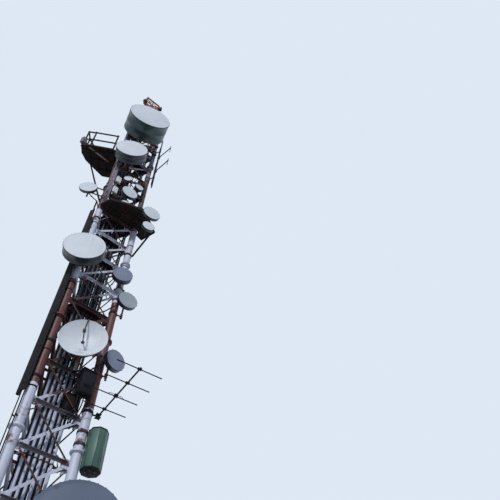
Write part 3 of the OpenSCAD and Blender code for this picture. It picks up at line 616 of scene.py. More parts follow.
# feeder lines: clips, couplings, and thin lines between them
feeders = {
    "pitch": 0.13, "y": -0.2, "radius": 0.035, "lastLevel": (23, 21, 19, 17, 15, 13), "clipHigh": 0.036,
    "thinAt": (-0.26, -0.13, 0.0, 0.13, 0.26), "thinY": -0.179, "thinRadius": 0.023,
    "thinTop": (23, 21, 19, 17, 15), "thinClip": (0.044, 0.018, 0.024),
    "coupling": ((-0.10, -0.015, 0.041), (-0.015, 0.03, 0.030), (0.03, 0.06, 0.022)),
}


def onAxis(x, y, z=0):
    return axisPoint + Vector((x, y, z))


def feederPoint(k, z):
    return onAxis((k - 2.5) * feeders["pitch"], feeders["y"], z)


def addClippedLine(bm, x, y, last, over, radius, clipY, clip):
    # an upright line with a clip at every second level
    at = onAxis(x, y)
    addPost(bm, at, level(0), level(last) + over, radius, 10)
    for n in range(1, last + 1, 2):
        addBlock(bm, shift(at.x, at.y + clipY, level(n)), clip, 0.003)


def makeFeederParts():
    clips, ends, thin = bmesh.new(), bmesh.new(), bmesh.new()
    h, r = feeders["clipHigh"] / 2, feeders["radius"]
    for k, last in enumerate(feeders["lastLevel"]):
        for n in range(1, last + 1, 2):
            centre = feederPoint(k, level(n))
            addRing(clips, upright(centre), h, r - 0.002, r + 0.005, 20)
            for side in (-1, 1):
                ear = centre + Vector((side * (r + 0.012), 0.012, 0))
                addBlock(clips, Matrix.Translation(ear), (0.022, 0.044, 2 * h), 0.003)
                addPin(clips, ear + Vector((0, -0.022, 0)), (0, -0.012, 0), 0.007)
        # a sealed coupling on top
        for low, high, radius in feeders["coupling"]:
            addPin(ends, feederPoint(k, level(last) + 0.05 + low), rise(high - low), radius, 20)
    for x, last in zip(feeders["thinAt"], feeders["thinTop"]):
        addClippedLine(thin, x, feeders["thinY"], last, 0, feeders["thinRadius"], 0.006, feeders["thinClip"])
    finishPiece(clips, "feeder_clips", "rustySteel")
    finishPiece(ends, "feeder_couplings", "darkJacket", True)
    finishPiece(thin, "thin_lines", "darkJacket")


makeFeederParts()
print("feeders finished")

# drums: each is turned about the way it faces
focalRatio = 0.52
drumLook = {"wall": 0.012, "mouth": 0.008, "hub": 0.024, "bead": 0.006, "ribs": 8, "ribRadius": 0.011,
            "clips": 32, "smallClips": 16}


def deepOf(d):
    return d / (16 * focalRatio)


def backOf(d, long):
    return long + deepOf(d) + drumLook["hub"]


pipes = {
    "top": Vector((0.603, axisPoint.y + faceY(23.15) - legRadius(23.15) - 0.126, 23.55)),
    "upper": beside(0, -48, 0.49, 20.79),
    "middle": beside(0, -90, 0.2, 14.29),
    "lower": beside(1, -70, 0.43, 6.43),
    "dish": Vector((0.784, axisPoint.y + faceY(level(9)) - 0.245, 11.243)),
}
# way it faces, diameter, length, finish, slot and finish of the radome
largeDrums = {
    "top": (-105, 1.75, 0.85, "topDrumPaint", "green_grey_paint", "radomeCloth"),
    "upper": (-116, 1.2, 0.4, "shadedDrumPaint", "dark_paint", "radomeCloth"),
    "middle": (-116, 1.2, 0.3, "shadedDrumPaint", "dark_paint", "radomeCloth"),
    "lower": (-116, 1.85, 0.45, "slatePaint", "slate_paint", "slatePaint"),
}


def addShell(bm, place, d, long, steps=64, curveSteps=12):
    # hub, reflector, shroud with rolled beads, and the inside of the reflector
    r, deep, wall, bead = d / 2, deepOf(d), drumLook["wall"], drumLook["bead"] * min(1, d)
    start, mouth = -backOf(d, long), -drumLook["mouth"]
    def dip(u):
        return -long - deep * (1 - u * u)
    profile = [(start, 0), (start, 0.13 * d), (start + 0.008, 0.14 * d)]
    profile += [(dip(u), r * u) for u in (1 / 3 + k * (2 / 3) / curveSteps for k in range(curveSteps))]
    profile.append((-long, r))
    for x in (0.02 - long, -long / 2, -0.03) if long > 0.35 else (0.02 - long, -0.03):
        profile += [(x - 0.016, r), (x - 0.009, r + bead), (x + 0.009, r + bead), (x + 0.016, r)]
    profile += [(mouth, r), (mouth, r - wall)]
    profile += [(wall + dip(u), (r - wall) * u) for u in (1 - k / curveSteps for k in range(curveSteps + 1))]
    addTurned(bm, profile, place, steps)


def addRibs(bm, place, r, deep, back, count, radius, ringAt, ringHalf):
    # ribs down the back of a reflector, with a ring across them
    for k in range(count):
        path = [(-back - 0.004 - deep * (1 - u * u), 0, r * u) for u in (0.32, 0.5, 0.66, 0.82, 0.97)]
        addTube(bm, path, radius, 6, 1, place @ spin(360 * (k + 0.5) / count, "X"))
    x = -back - 0.006 - deep * (1 - ringAt ** 2)
    addRing(bm, place @ shift(x, 0, 0), ringHalf, r * ringAt - 0.008, r * ringAt + 0.008)


def addDrumFittings(bm, place, d, long, clips):
    ribRadius = drumLook["ribRadius"] * min(1, 0.5 + d / 2)
    addRibs(bm, place, d / 2, deepOf(d), long, drumLook["ribs"], ribRadius, 0.62, 0.008)
    # bolts round the hub, and clips round the mouth
    for k in range(8):
        addPin(bm, (0.001 - backOf(d, long), 0, 0.115 * d), (-0.013, 0, 0), 0.009, 6,
               place @ spin(45 * k, "X"))
    for k in range(clips):
        addBlock(bm, place @ spin(360 * (k + 0.5) / clips, "X"), (0.05, 0.022, 0.010), 0.002,
                 (-0.02, 0, d / 2 + 0.005))


def addRadome(bm, place, d, steps=64):
    # cloth drawn tight over the mouth, a little fuller towards its middle
    r = d / 2
    profile = [(-0.0075, 0), (-0.0075, r - 0.001), (0.0025, r - 0.001), (0.006, r - 0.006),
               (0.006, r - 0.022), (0.004, r - 0.028)]
    shares = [1 - k / 10 for k in range(1, 11)]
    profile += [(0.004 + 0.017 * d * (1 - u ** 2.4), (r - 0.028) * u) for u in shares]
    addTurned(bm, profile, place, steps)


def makeLargeDrums():
    for name, (degrees, d, long, finish, slot, radome) in largeDrums.items():
        shell, fittings, cover = bmesh.new(), bmesh.new(), bmesh.new()
        place = facing(pipes[name] + heading(degrees) * (largePipe + 0.0005 + backOf(d, long)), degrees)
        addShell(shell, place, d, long)
        addDrumFittings(fittings, place, d, long, drumLook["clips"])
        addGrips(fittings, pipes[name], degrees, 0.11 * d, 0.36 * d, "large")
        addRadome(cover, place, d)
        finishPiece(shell, name + "_drum_shell", finish, True, (name + "_drum",))
        finishPiece(fittings, name + "_drum_fittings", "galvanised", True)
        finishPiece(cover, name + "_drum_cloth", radome, True, (name + "_drum_radome",))


makeLargeDrums()
print("large drums made")


# outlines of two decks, as (x, y) on the face that they stand out from
def middleOutline():
    x, y, r = faceAt(level(15)) / 2, faceY(level(15)), 0.955
    return [(-x + 0.06, y - 0.012), (-x - 0.1, y - 0.2 * r), (-x + 0.04, y - 0.6 * r),
            (-0.13 * x, y - 0.84 * r), (0.72 * x, y - r), (x + 0.585, y - 0.45 * r),
            (x + 0.405, y + 0.135), (x + 0.16, y + 0.08), (x - 0.06, y - 0.012)]


def upperOutline():
    x, y, r = faceAt(level(19)) / 2, faceY(level(19)), 1.64
    return [(x - 0.04, y - 0.012), (x + 0.03, y - 0.2 * r), (x + 0.04, y - 0.8 * r), (x, y - r),
            (x - 0.34, y - 0.98 * r), (x - 0.66, y - 0.88 * r), (x - 1.085, y - 0.6 * r),
            (x - 1.29, y - 0.46 * r), (x - 1.3, y - 0.3 * r), (x - 1.29, y - 0.012)]


# the pole at the middle deck's edge, and the small drums as pipe, way it faces, diameter and length
edgeStart, edgeEnd = (onFace(0, *middleOutline()[k], 0) for k in (4, 5))
edgeAlong = (edgeEnd - edgeStart).normalized()
edgeOut = Vector((edgeAlong.y, -edgeAlong.x, 0))
edgePole = edgeStart + 0.13 * edgeAlong + 0.12 * edgeOut
poleTops = [Vector((0.663, -0.146, 19.85)), Vector((0.765, -0.150, 18.98)), Vector((1.085, -0.110, 19.82))]
smallDrums = [
    (beside(1, -20, 0.25, 13.54), -95, 0.6, 0.13), (beside(1, -37, 0.23, 11.15), -80, 0.6, 0.14),
    (beside(0, 162.8, 0.575, 18.095), -122, 0.6, 0.10), (beside(1, -121, 0.24, 14.29), -107, 0.6, 0.16),
]
for pole, z, degrees, d, long in (
    (poleTops[0], 19.62, -121, 0.33, 0.12), (poleTops[1], 18.70, -94, 0.6, 0.12),
    (poleTops[1], 17.93, -99, 0.33, 0.12), (poleTops[2], 19.55, -94, 0.33, 0.12),
    (edgePole, 17.02, -98, 0.6, 0.11), (edgePole, 16.26, -100, 0.4125, 0.11),
):
    smallDrums.append((Vector((pole.x, pole.y, z)), degrees, d, long))


def makeSmallDrums():
    shells, fittings, covers, shadedCovers, halfShadedCovers = (bmesh.new() for k in range(5))
    # three of the covers take darker copies of the white cloth, as painted shade
    coverOf = {0: halfShadedCovers, 1: shadedCovers, 3: shadedCovers}
    for k, (pipe, degrees, d, long) in enumerate(smallDrums):
        place = facing(pipe + heading(degrees) * (smallPipe + 0.0005 + backOf(d, long)), degrees)
        addShell(shells, place, d, long, 48, 8)
        addDrumFittings(fittings, place, d, long, drumLook["smallClips"])
        addGrips(fittings, pipe, degrees, 0.09 * d, 0.34 * d, "small")
        addRadome(coverOf.get(k, covers), place, d, 48)
    finishPiece(shells, "small_drum_shells", "shadedDrumPaint", True, ("small_drums",))
    finishPiece(fittings, "small_drum_fittings", "galvanised", True)
    finishPiece(covers, "small_drum_cloths", "radomeCloth", True, ("small_drum_radomes",))
    finishPiece(shadedCovers, "shaded_drum_cloths", "shadedCloth", True)
    finishPiece(halfShadedCovers, "half_shaded_drum_cloth", "halfShadedCloth", True)


makeSmallDrums()
print("small drums made")

# upright pipes of the drums, as place, bottom, top, radius, then the leg and the heights of their arms
pipeMounts = (
    (pipes["top"], 22.95, 24.15, largePipe, 0, ()),
    (pipes["upper"], 20.24, 21.24, largePipe, 0, (20.34, 21.1)),
    (pipes["middle"], 13.98, 14.85, largePipe, 0, (14.1, 14.72)),
    (pipes["lower"], 5.5, 7.5, largePipe, 1, (5.6, 7.4)),
    (pipes["dish"], 10.35, 11.8, largePipe, 0, ()),
    (smallDrums[0][0], 12.95, 13.78, smallPipe, 1, (13.05, 13.6)),
    (smallDrums[1][0], 10.62, 11.46, smallPipe, 1, (10.75, 11.34)),
    (smallDrums[2][0], 17.82, 18.7, smallPipe, 0, (18.12, 18.56)),
    (smallDrums[3][0], 14.02, 14.76, smallPipe, 1, (14.12, 14.68)),
)
openDish = {"d": 1.2, "facing": -116, "ratio": 0.375, "wall": 0.008, "hub": 0.024, "ribs": 10,
            "ribRadius": 0.009, "feedRadius": 0.014, "guide": 0.020}


def makeMounts():
    bm = bmesh.new()
    for at, low, high, radius, i, heights in pipeMounts:
        addPost(bm, at, low, high, radius, 32)
        for z, way in ((low, -1), (high, 1)):
            # a pressed cap closes each end of the pipe
            addTurned(bm, [(0, 0), (0, radius + 0.003), (-0.03, radius + 0.003), (-0.03, radius - 0.004)],
                      shift(at.x, at.y, z) @ spin(-90 * way, "Y"), 32, True)
        for z in heights:
            back = addArm(bm, i, z, at)
            addUBolts(bm, at, z, arm["boltSpread"], back, radius)
            addBlock(bm, facing((at.x, at.y, z), back), (0.012, 2 * radius + 0.05, 0.11), 0.003,
                     (radius + 0.006, 0, 0))
    for n in (9, 10):
        addStay(bm, pipes["dish"], n, 0.14)
        addUBolt(bm, (pipes["dish"].x, pipes["dish"].y, level(n) - 0.035), 90, largePipe)
    # the top pipe is bolted to its two rails
    for z in (23.15, 23.95):
        addUBolts(bm, pipes["top"], z, 0.026, 90, largePipe)
    finishPiece(bm, "drum_pipes", "galvanised", True, ("drum_mounts",))


def makeOpenDish():
    d, r, wall, degrees = openDish["d"], openDish["d"] / 2, openDish["wall"], openDish["facing"]
    deep = d / (16 * openDish["ratio"])
    back, focus = deep + openDish["hub"], openDish["ratio"] * d - deep
    place = facing(pipes["dish"] + heading(degrees) * (largePipe + 0.0005 + back), degrees)
    bowl, ribs, feed = bmesh.new(), bmesh.new(), bmesh.new()
    profile = [(-deep * (1 - u * u), r * u) for u in (k / 14 for k in range(15))]
    profile += [(0.003, r + 0.003), (0.002, r + 0.009), (-0.006, r + 0.012), (-0.020, r + 0.010),
                (-0.024, r + 0.004), (-0.02, r)]
    profile += [(-wall - deep * (1 - u * u), r * u) for u in (1 - k * (2 / 3) / 12 for k in range(1, 13))]
    profile += [(-back + 0.006, 0.14 * d), (-back, 0.135 * d), (-back, 0)]
    addTurned(bowl, profile, place, 72)
    addRibs(ribs, place, r, deep, wall, openDish["ribs"], openDish["ribRadius"], 0.6, 0.007)
    addGrips(ribs, pipes["dish"], degrees, 0.13, 0.42, "large")
    # a stem, a horn with a ringed throat that looks back at the dish, and a guide from it over the rim
    addTube(feed, [(0.0005 - deep, 0, 0), (focus - 0.05, 0, 0)], openDish["feedRadius"], 12, 1, place)
    addTurned(feed, [(0.0005, 0), (0.0005, 0.05), (0.012, 0.046), (0.018, 0.02), (0.04, 0.012)],
              place @ shift(-deep, 0, 0), 24)
    horn = [(-0.06, 0), (-0.06, 0.040), (-0.045, 0.042), (-0.040, 0.034), (-0.030, 0.034),
            (-0.026, 0.040), (0.02, 0.040), (0.03, 0.033), (0.03, 0)]
    addTurned(feed, horn, place @ shift(focus, 0, 0), 32)
    guide = [(focus - 0.01, 0, 0.03), (0.6 * focus, 0, 0.45 * r), (0.016, 0, r - 0.008)]
    addTube(feed, guide, openDish["guide"], 10, 4, place)
    addBlock(feed, place, (0.034, 0.05, 0.03), 0.006, (0.016, 0, r - 0.006))
    finishPiece(bowl, "open_dish_bowl", "whitePaint", True, ("open_dish",))
    finishPiece(ribs, "open_dish_ribs", "whitePaint", True)
    finishPiece(feed, "open_dish_horn", "feedPaint", True, ("open_dish_feed",))


makeMounts()
makeOpenDish()
print("open dish and pipes made")

# platforms: guard rail, toe plates, joists, and a junction box
deckLook = {"rest": 0.0355, "thick": 0.026, "toeHigh": 0.10, "toeThick": 0.006, "joistWide": 0.03,
            "joistHigh": 0.05, "braceWide": 0.06, "braceHigh": 0.05}
railLook = {"high": 1.38, "post": 0.034, "rail": 0.032, "postIn": 0.06, "under": 0.037}
# face, level, the leg that x is measured from, and each joist as y from the face and its two ends
joists = (
    (2, 19, 1, ((-0.30, -1.27, 0.02), (-0.62, -1.25, 0.03), (-0.95, -1.05, 0.03), (-1.28, -0.72, 0.03))),
    (0, 15, -1, ((-0.28, -0.06, 0.50), (-0.54, 0.05, 0.40))),
)
hatchSides = (((-0.2, 0.2), (0.2, 0.2)), ((-0.2, -0.118), (0.2, -0.118)), ((-0.19, 0.2), (-0.19, -0.118)),
              ((0.19, 0.2), (0.19, -0.118)))


def makeGuardRail():
    bm = bmesh.new()
    edge = [Vector((*p, 0)) for p in upperOutline()]
    middle = (edge[2] + edge[7]) / 2
    foot = level(19) + deckLook["rest"] + deckLook["thick"] + 0.0005
    spots = [edge[k] + railLook["postIn"] * (middle - edge[k]).normalized() for k in (1, 2, 3, 4, 5, 6, 8)]
    posts = [onFace(2, p.x, p.y, foot) for p in spots]
    high, radius = railLook["high"], railLook["post"]
    for post in posts:
        addPin(bm, post, rise(high), radius, 24)
        addBlock(bm, Matrix.Translation(post + rise(0.006)), (0.11, 0.11, 0.012), 0.003)
        addPin(bm, post + rise(high - 0.004), rise(0.008), radius + 0.003, 24)
        for sx, sy in corners:
            addPin(bm, post + Vector((0.04 * sx, 0.04 * sy, 0.012)), rise(0.012), 0.008)
    for z in (high / 2 - railLook["under"], high - railLook["under"]):
        for a, b in zip(posts, posts[1:]):
            addRod(bm, a + rise(z), b + rise(z), railLook["rail"], 16)
        for post in posts:
            # a clamp joins each rail to its post
            addPin(bm, post + rise(z - 0.03), rise(0.06), radius + 0.006, 20)
    finishPiece(bm, "balcony_rail", "railPaint", True, ("upper_guard_rail",))


def makeDeckFittings():
    dark, pale = bmesh.new(), bmesh.new()
    for i, n, outline in ((2, 19, upperOutline()), (0, 15, middleOutline())):
        z = level(n) + deckLook["rest"] + deckLook["thick"] + deckLook["toeHigh"] / 2 - 0.03
        spots = [onFace(i, x, y, z) for x, y in outline]
        for a, b in zip(spots[1:-2], spots[2:-1]):
            addStrip(dark, a, b, deckLook["toeThick"], deckLook["toeHigh"], z)
    for i, n, side, rows in joists:
        x, y = side * faceAt(level(n)) / 2, faceY(level(n))
        under = level(n) + deckLook["rest"] - deckLook["joistHigh"] / 2
        for out, start, end in rows:
            # the middle deck's joists end beyond the other leg
            a, b = onFace(i, x + start, y + out, 0), onFace(i, abs(x) + end, y + out, 0)
            addStrip(dark, a, b, deckLook["joistWide"], deckLook["joistHigh"], under)
    # a brace bar lies slantwise under the upper one
    addStrip(pale, onFace(2, 0.667, -1.70, 0), onFace(2, 0.139, -0.90, 0), deckLook["braceWide"],
             deckLook["braceHigh"], level(19) + 0.010)
    # frames round the hatch of each deck, on its underside
    for n in deckLevels:
        for a, b in hatchSides:
            addStrip(dark, onAxis(*a), onAxis(*b), 0.02, 0.04, level(n) + deckLook["rest"] - 0.02)
    finishPiece(dark, "deck_edges_and_joists", "decking")
    finishPiece(pale, "deck_brace_bar", "paleBar")


def makeRailBox():
    # on the balcony's corner, with its lid, hinges and glands
    bm = bmesh.new()
    place = facing((-1.315, 0.905, 22.26), 26)
    addBlock(bm, place, (0.22, 0.14, 0.42), 0.010)
    addBlock(bm, place, (0.19, 0.016, 0.38), 0.005, (0, -0.074, 0))
    for up in (-0.13, 0.13):
        addPin(bm, (-0.098, -0.078, up - 0.02), rise(0.04), 0.008, 10, place)
    for x in (-0.06, 0, 0.06):
        addPin(bm, (x, 0, -0.20), rise(-0.05), 0.016, 12, place)
    finishPiece(bm, "balcony_box", "boxPaint", True)


makeGuardRail()
makeDeckFittings()
makeRailBox()
print("platforms finished")

# top section: bracing, slats, bolts and the two lamps
topSection = {"wide": 0.70, "high": 2.4, "brace": 0.020, "bar": 0.024, "upright": 0.022, "lampOut": 0.11,
              "bars": (0.34, 0.62, -0.80, -0.35), "slats": (0.22, 0.30, 0.47, 0.55, 0.74),
              "boxRise": (0.36, 0.74)}
legTop = mast["legTop"]
topRing = legTop + 0.55 * topSection["high"]


def topSides():
    # each side as its two corners and the way out of it
    spots = [axisPoint + heading(degrees) * (topSection["wide"] / math.sqrt(3)) for degrees in legDegrees]
    return [(a, b, heading(degrees + 60)) for a, b, degrees in zip(spots, spots[1:] + spots[:1], legDegrees)]


def makeTopBracing():
    bm, slats = bmesh.new(), bmesh.new()
    low, high, peak = legTop + 0.07, legTop + topSection["high"] - 0.16, legTop + topSection["high"]
    heights = (topRing + 0.34, topRing + 0.62, low + 0.45, low + 0.9)
    for (a, b, out), degrees in zip(topSides(), legDegrees):
        for z0, z1 in ((low, topRing), (topRing + 0.15, high)):
            for p, q in ((a, b), (b, a)):
                addRod(bm, p + rise(z0), q + rise(z1), topSection["brace"])
        for z in heights:
            addRod(bm, a + rise(z), b + rise(z), topSection["bar"])
        addPost(bm, a.lerp(b, 0.5), topRing, high + 0.1, topSection["upright"])
        # foot plates with bolts, and a cap on each post
        foot = a + rise(legTop + 0.067)
        addBlock(bm, facing(foot, degrees), (0.14, 0.14, 0.013), 0.003)
        for k in range(4):
            addPin(bm, foot + heading(45 + 90 * k) * 0.075, rise(0.02), 0.009)
        addPost(bm, a, peak - 0.01, peak + 0.004, 0.034, 24)
        for z in (topRing + 0.03, topRing + 0.11, peak - 0.11, peak - 0.03):
            for share in (0.2, 0.5, 0.8):
                addPin(bm, a.lerp(b, share) + out * 0.044 + rise(z), out * 0.012, 0.009)
        for up in topSection["slats"]:
            addStrip(slats, a + out * 0.034, b + out * 0.034, 0.006, 0.070, topRing + up)
    finishPiece(bm, "top_section_bracing", "redPaint")
    finishPiece(slats, "top_section_slats", "slatPaint")


def makeLamps():
    base, glass = bmesh.new(), bmesh.new()
    for (corner, *_), degrees, boxRise in zip(topSides(), legDegrees, topSection["boxRise"]):
        place = upright(corner + heading(degrees) * topSection["lampOut"] + rise(topRing + 0.0205))
        addTurned(base, [(0, 0), (0, 0.055), (0.012, 0.055), (0.016, 0.049), (0.045, 0.047), (0.049, 0.053),
                         (0.058, 0.053), (0.060, 0.043), (0.060, 0)], place, 32)
        # ringed glass under a dome
        profile = [(0.058, 0), (0.058, 0.039)]
        for x in (0.062 + 0.009 * k for k in range(9)):
            profile += [(x, 0.0405), (x + 0.0045, 0.0375)]
        profile.append((0.145, 0.0405))
        profile += [(0.145 + 0.031 * math.sin(a), 0.0405 * math.cos(a))
                    for a in (math.radians(15 * k) for k in range(1, 7))]
        addTurned(glass, profile, place, 32)
        for k in range(4):
            # guard wires from the base over the dome
            path = [(0.05, 0, 0.050), (0.12, 0, 0.052), (0.165, 0, 0.036), (0.182, 0, 0)]
            addTube(base, path, 0.003, 6, 3, place @ spin(45 + 90 * k, "X"))
        # its junction box above the ring
        place = facing(corner + heading(degrees) * 0.10 + rise(topRing + boxRise), degrees)
        addBlock(base, place, (0.15, 0.17, 0.20), 0.010)
        addBlock(base, place, (0.014, 0.15, 0.18), 0.004, (0.078, 0, 0), 2)
        addPin(base, (0.02, 0, -0.14), rise(0.05), 0.016, 12, place)
    finishPiece(base, "lamp_bases", "darkPaint", True)
    finishPiece(glass, "lamp_glasses", "lampGlass", True, ("beacon_lamps",))


makeTopBracing()
makeLamps()
print("top section finished")

# cabinets, as their low front left corner and their size
innerCabinet = ((0.900, 0.060, 9.420), (0.36, 0.125, 0.53))
outerCabinet = ((0.985, -0.290, 9.850), (0.36, 0.19, 0.69))
glandShares = (0.2, 0.4, 0.6, 0.8)
leads = {"radius": 0.015, "clip": 0.022, "barY": -0.055, "barZ": 9.40, "drop": 0.14}


def makeCabinetFittings():
    bm = bmesh.new()
    for (x, y, z), (wide, deep, high) in (innerCabinet, outerCabinet):
        front = shift(x + wide / 2, y, z + high / 2)
        # door with a raised panel, a hood with a drip lip, and a plinth
        addBlock(bm, front, (wide - 0.03, 0.016, high - 0.05), 0.005, (0, -0.006, -0.004))
        addBlock(bm, front, (wide - 0.10, 0.014, high - 0.16), 0.006, (0, -0.012, 0.006))
        addBlock(bm, front, (wide + 0.03, deep + 0.035, 0.022), 0.006,
                 (0, deep / 2 - 0.006, high / 2 + 0.004))
        addBlock(bm, front, (wide - 0.02, deep - 0.02, 0.02), 0.003, (0, deep / 2, -high / 2 - 0.004), 2)
        for up in (0.14, 0.5, 0.86):
            addPin(bm, (x + 0.012, y - 0.012, z + high * up - 0.025), rise(0.05), 0.009, 12)
        handle = Vector((x + wide - 0.035, y - 0.03, z + 0.5 * high))
        addPin(bm, handle - rise(0.05), rise(0.10), 0.007, 10)
        for up in (-0.04, 0.04):
            addPin(bm, handle + rise(up), (0, 0.025, 0), 0.006, 8)
        for k in range(5):
            slat = front @ shift(0, -0.021, -0.28 * high + 0.022 * k) @ Matrix.Rotation(0.5, 4, "X")
            addBlock(bm, slat, (wide - 0.16, 0.012, 0.010), 0.002)
        for share in glandShares:
            gland = Vector((x + wide * share, y + deep / 2, z))
            addPin(bm, gland, rise(-0.035), 0.018, 12)
            addPin(bm, gland - rise(0.012), rise(-0.012), 0.023)
    finishPiece(bm, "cabinet_fittings", "cabinetPaint", True)


def makeCabinetLeads():
    # short leads loop from under one cabinet to under the other, clipped where they cross the bar
    bm = bmesh.new()
    def socket(cabinet, share):
        (x, y, z), (wide, deep, _) = cabinet
        return Vector((x + wide * share, y + deep / 2, z - 0.03))
    for k, share in enumerate(glandShares):
        a, b, drop = socket(outerCabinet, share), socket(innerCabinet, share), leads["drop"] + 0.03 * k
        path = [a, a - rise(0.22), (a.x, leads["barY"], leads["barZ"]), (b.x, 0.02, b.z + 0.03 - drop),
                b - rise(drop + 0.06), b]
        addTube(bm, path, leads["radius"], 8, 4)
        addPin(bm, (a.x, leads["barY"] - 0.015, leads["barZ"]), (0, 0.035, 0), leads["clip"], 10)
    finishPiece(bm, "cabinet_leads", "darkJacket", True)


# prismatic antenna
prism = {"at": (1.78, -0.225), "low": 8.08, "high": 1.01, "wide": 0.42, "arms": (8.74, 9.06), "cap": 0.035}


def makePrism():
    x, y = prism["at"]
    low, high = prism["low"], prism["low"] + prism["high"]
    radius = prism["wide"] / 2 / math.cos(math.radians(22.5))
    body, caps, held = bmesh.new(), bmesh.new(), bmesh.new()
    def section(bm, low, high, r, edge):
        part = bmesh.new()
        bmesh.ops.create_cone(part, cap_ends=True, segments=8, radius1=r, radius2=r, depth=high - low)
        bevel(part, part.edges[:], edge, 2)
        addPart(bm, part, facing((x, y, (low + high) / 2), 22.5))
    section(body, low + 0.012, high - 0.012, radius, 0.008)
    section(caps, low, low + prism["cap"], radius + 0.006, 0.006)
    section(caps, high - prism["cap"], high, radius + 0.006, 0.006)
    for k in range(8):
        edge = Vector((x, y)) + heading(22.5 + 45 * k).xy * radius
        addPost(body, edge, low + 0.03, high - 0.03, 0.008)
    for k in range(5):
        spot = Vector((x, y, low)) + heading(72 * k + 20) * 0.10
        addPin(held, spot + rise(0.004), rise(-0.026), 0.020)
        addPin(held, spot, rise(-0.045), 0.013, 14)
    for z in prism["arms"]:
        back = addArm(held, 1, z, (x, y))
        addBlock(held, facing((x, y, z), back), (0.02, 0.15, 0.10), 0.004, (prism["wide"] / 2 + 0.004, 0, 0))
    finishPiece(body, "prism_body", "prismPaint", True, ("prism_antenna",))
    finishPiece(caps, "prism_caps", "prismCap", True)
    finishPiece(held, "prism_arms", "galvanised", True)


# panel antennas on their pipe
panels = {"pipe": beside(0, -30, 0.225, 19.0), "low": (18.48, 19.23), "size": (0.2, 0.09, 0.36), "arm": 19.04,
          "frontEdge": 0.034}


def makePanels():
    at = panels["pipe"]
    wide, deep, high = panels["size"]
    boxes, held = bmesh.new(), bmesh.new()
    addPost(held, at, panels["low"][0], panels["low"][1] + high, smallPipe, 28)
    addArm(held, 0, panels["arm"], at)
    for z in panels["low"]:
        centre = Vector((at.x + 0.1 * wide, at.y - 0.02 - deep / 2, z + high / 2))
        part = bmesh.new()
        bmesh.ops.create_cube(part, size=1, matrix=Matrix.Diagonal((wide, deep, high, 1)))
        ends = [(e, *(v.co for v in e.verts)) for e in part.edges]
        front = [e for e, a, b in ends if abs(a.z - b.z) > 0.1 and a.y < 0]
        bevel(part, front, panels["frontEdge"], 5)
        bevel(part, part.edges[:], 0.004, 2)
        addPart(boxes, part, Matrix.Translation(centre))
        for up in (-0.5, 0.5):
            addBlock(boxes, Matrix.Translation(centre), (wide - 0.03, deep - 0.02, 0.016), 0.005,
                     (0, 0.004, up * high))
        addUBolts(held, at, centre.z, 0.11, -90, smallPipe, thinRod)
        for up in (-0.11, 0.11):
            addBlock(held, shift(at.x, at.y, centre.z), (0.11, 0.02, 0.034), 0.003, (0.01, -0.022, up))
        for x in (-0.04, 0.04):
            addPin(held, centre + Vector((x, 0.01, -high / 2)), rise(-0.04), 0.011, 12)
    finishPiece(boxes, "panel_covers", "whitePlastic", True, ("panel_antennas",))
    finishPiece(held, "panel_pipe", "galvanised", True)


# beam antenna: a boom with four elements, the second of them folded
beam = {"z": 9.611, "start": (0.25, -0.06), "turn": -5.5, "long": 2.08, "boom": 0.020, "element": 0.013,
        "wide": 1.12, "first": 0.16, "pitch": 0.27}


def makeBeam():
    bm = bmesh.new()
    start = legPoint(1, beam["z"]) + Vector((*beam["start"], 0))
    addArm(bm, 1, beam["z"], start, beam["boom"])
    place = facing(start, beam["turn"])
    addBlock(bm, place, (0.072, 0.072, 0.072), 0.006)
    for up in (-1, 1):
        addBlock(bm, place, (0.13, 0.13, 0.008), 0.002, (0, 0, 0.04 * up))
        for sx, sy in corners:
            addPin(bm, (0.052 * sx, 0.052 * sy, 0.04 * up), rise(0.018 * up), 0.007, 6, place)
    boom, long = beam["boom"], beam["long"]
    profile = [(0, 0), (0, boom), (long - 0.02, boom), (long - 0.015, 0.021), (long - 0.004, 0.021),
               (long, 0.016), (long, 0)]
    addTurned(bm, profile, place @ spin(-90, "Z"), 24)
    for k in range(4):
        y = -long * (beam["first"] + beam["pitch"] * k)
        for side in (-1, 1):
            x = side * beam["wide"] / 2
            addTube(bm, [(0, y, 0), (x, y, 0)], beam["element"], 12, 1, place)
            addPin(bm, (x - side * 0.02, y, 0), (side * 0.02, 0, 0), beam["element"] + 0.002, 12, place)
        addBlock(bm, place, (0.10, 0.046, 0.05), 0.005, (0, y, 0.004))
        addPin(bm, (0, y, 0.025), rise(0.017), 0.007, 6, place)
    # a second rod above the folded element joins it at both ends
    y = -long * (beam["first"] + beam["pitch"])
    loop = [(-0.16, y, 0.012), (-0.18, y, 0.030), (-0.16, y, 0.048), (0.16, y, 0.048), (0.18, y, 0.030),
            (0.16, y, 0.012)]
    addTube(bm, loop, 0.006, 8, 1, place)
    addBlock(bm, place, (0.07, 0.05, 0.05), 0.006, (0, y, 0.04))
    finishPiece(bm, "beam_rods", "darkJacket", True, ("beam_antenna",))


# whip antennas on a long pipe, with lines clipped along it
whips = {"pipe": beside(1, -58, 0.29, 22.0), "low": 20.297, "long": 4.305, "arms": (21.1, 23.5),
         "feet": (21.65, 22.9), "radius": 0.022, "rod": 0.006, "step": (0.38, -0.18, 1.25),
         "rodStep": (0.37, -0.175), "lines": ((120, 23.9), (160, 22.4), (80, 22.9)), "lineReach": 0.042,
         "lineLow": 20.5, "lineRadius": 0.014}


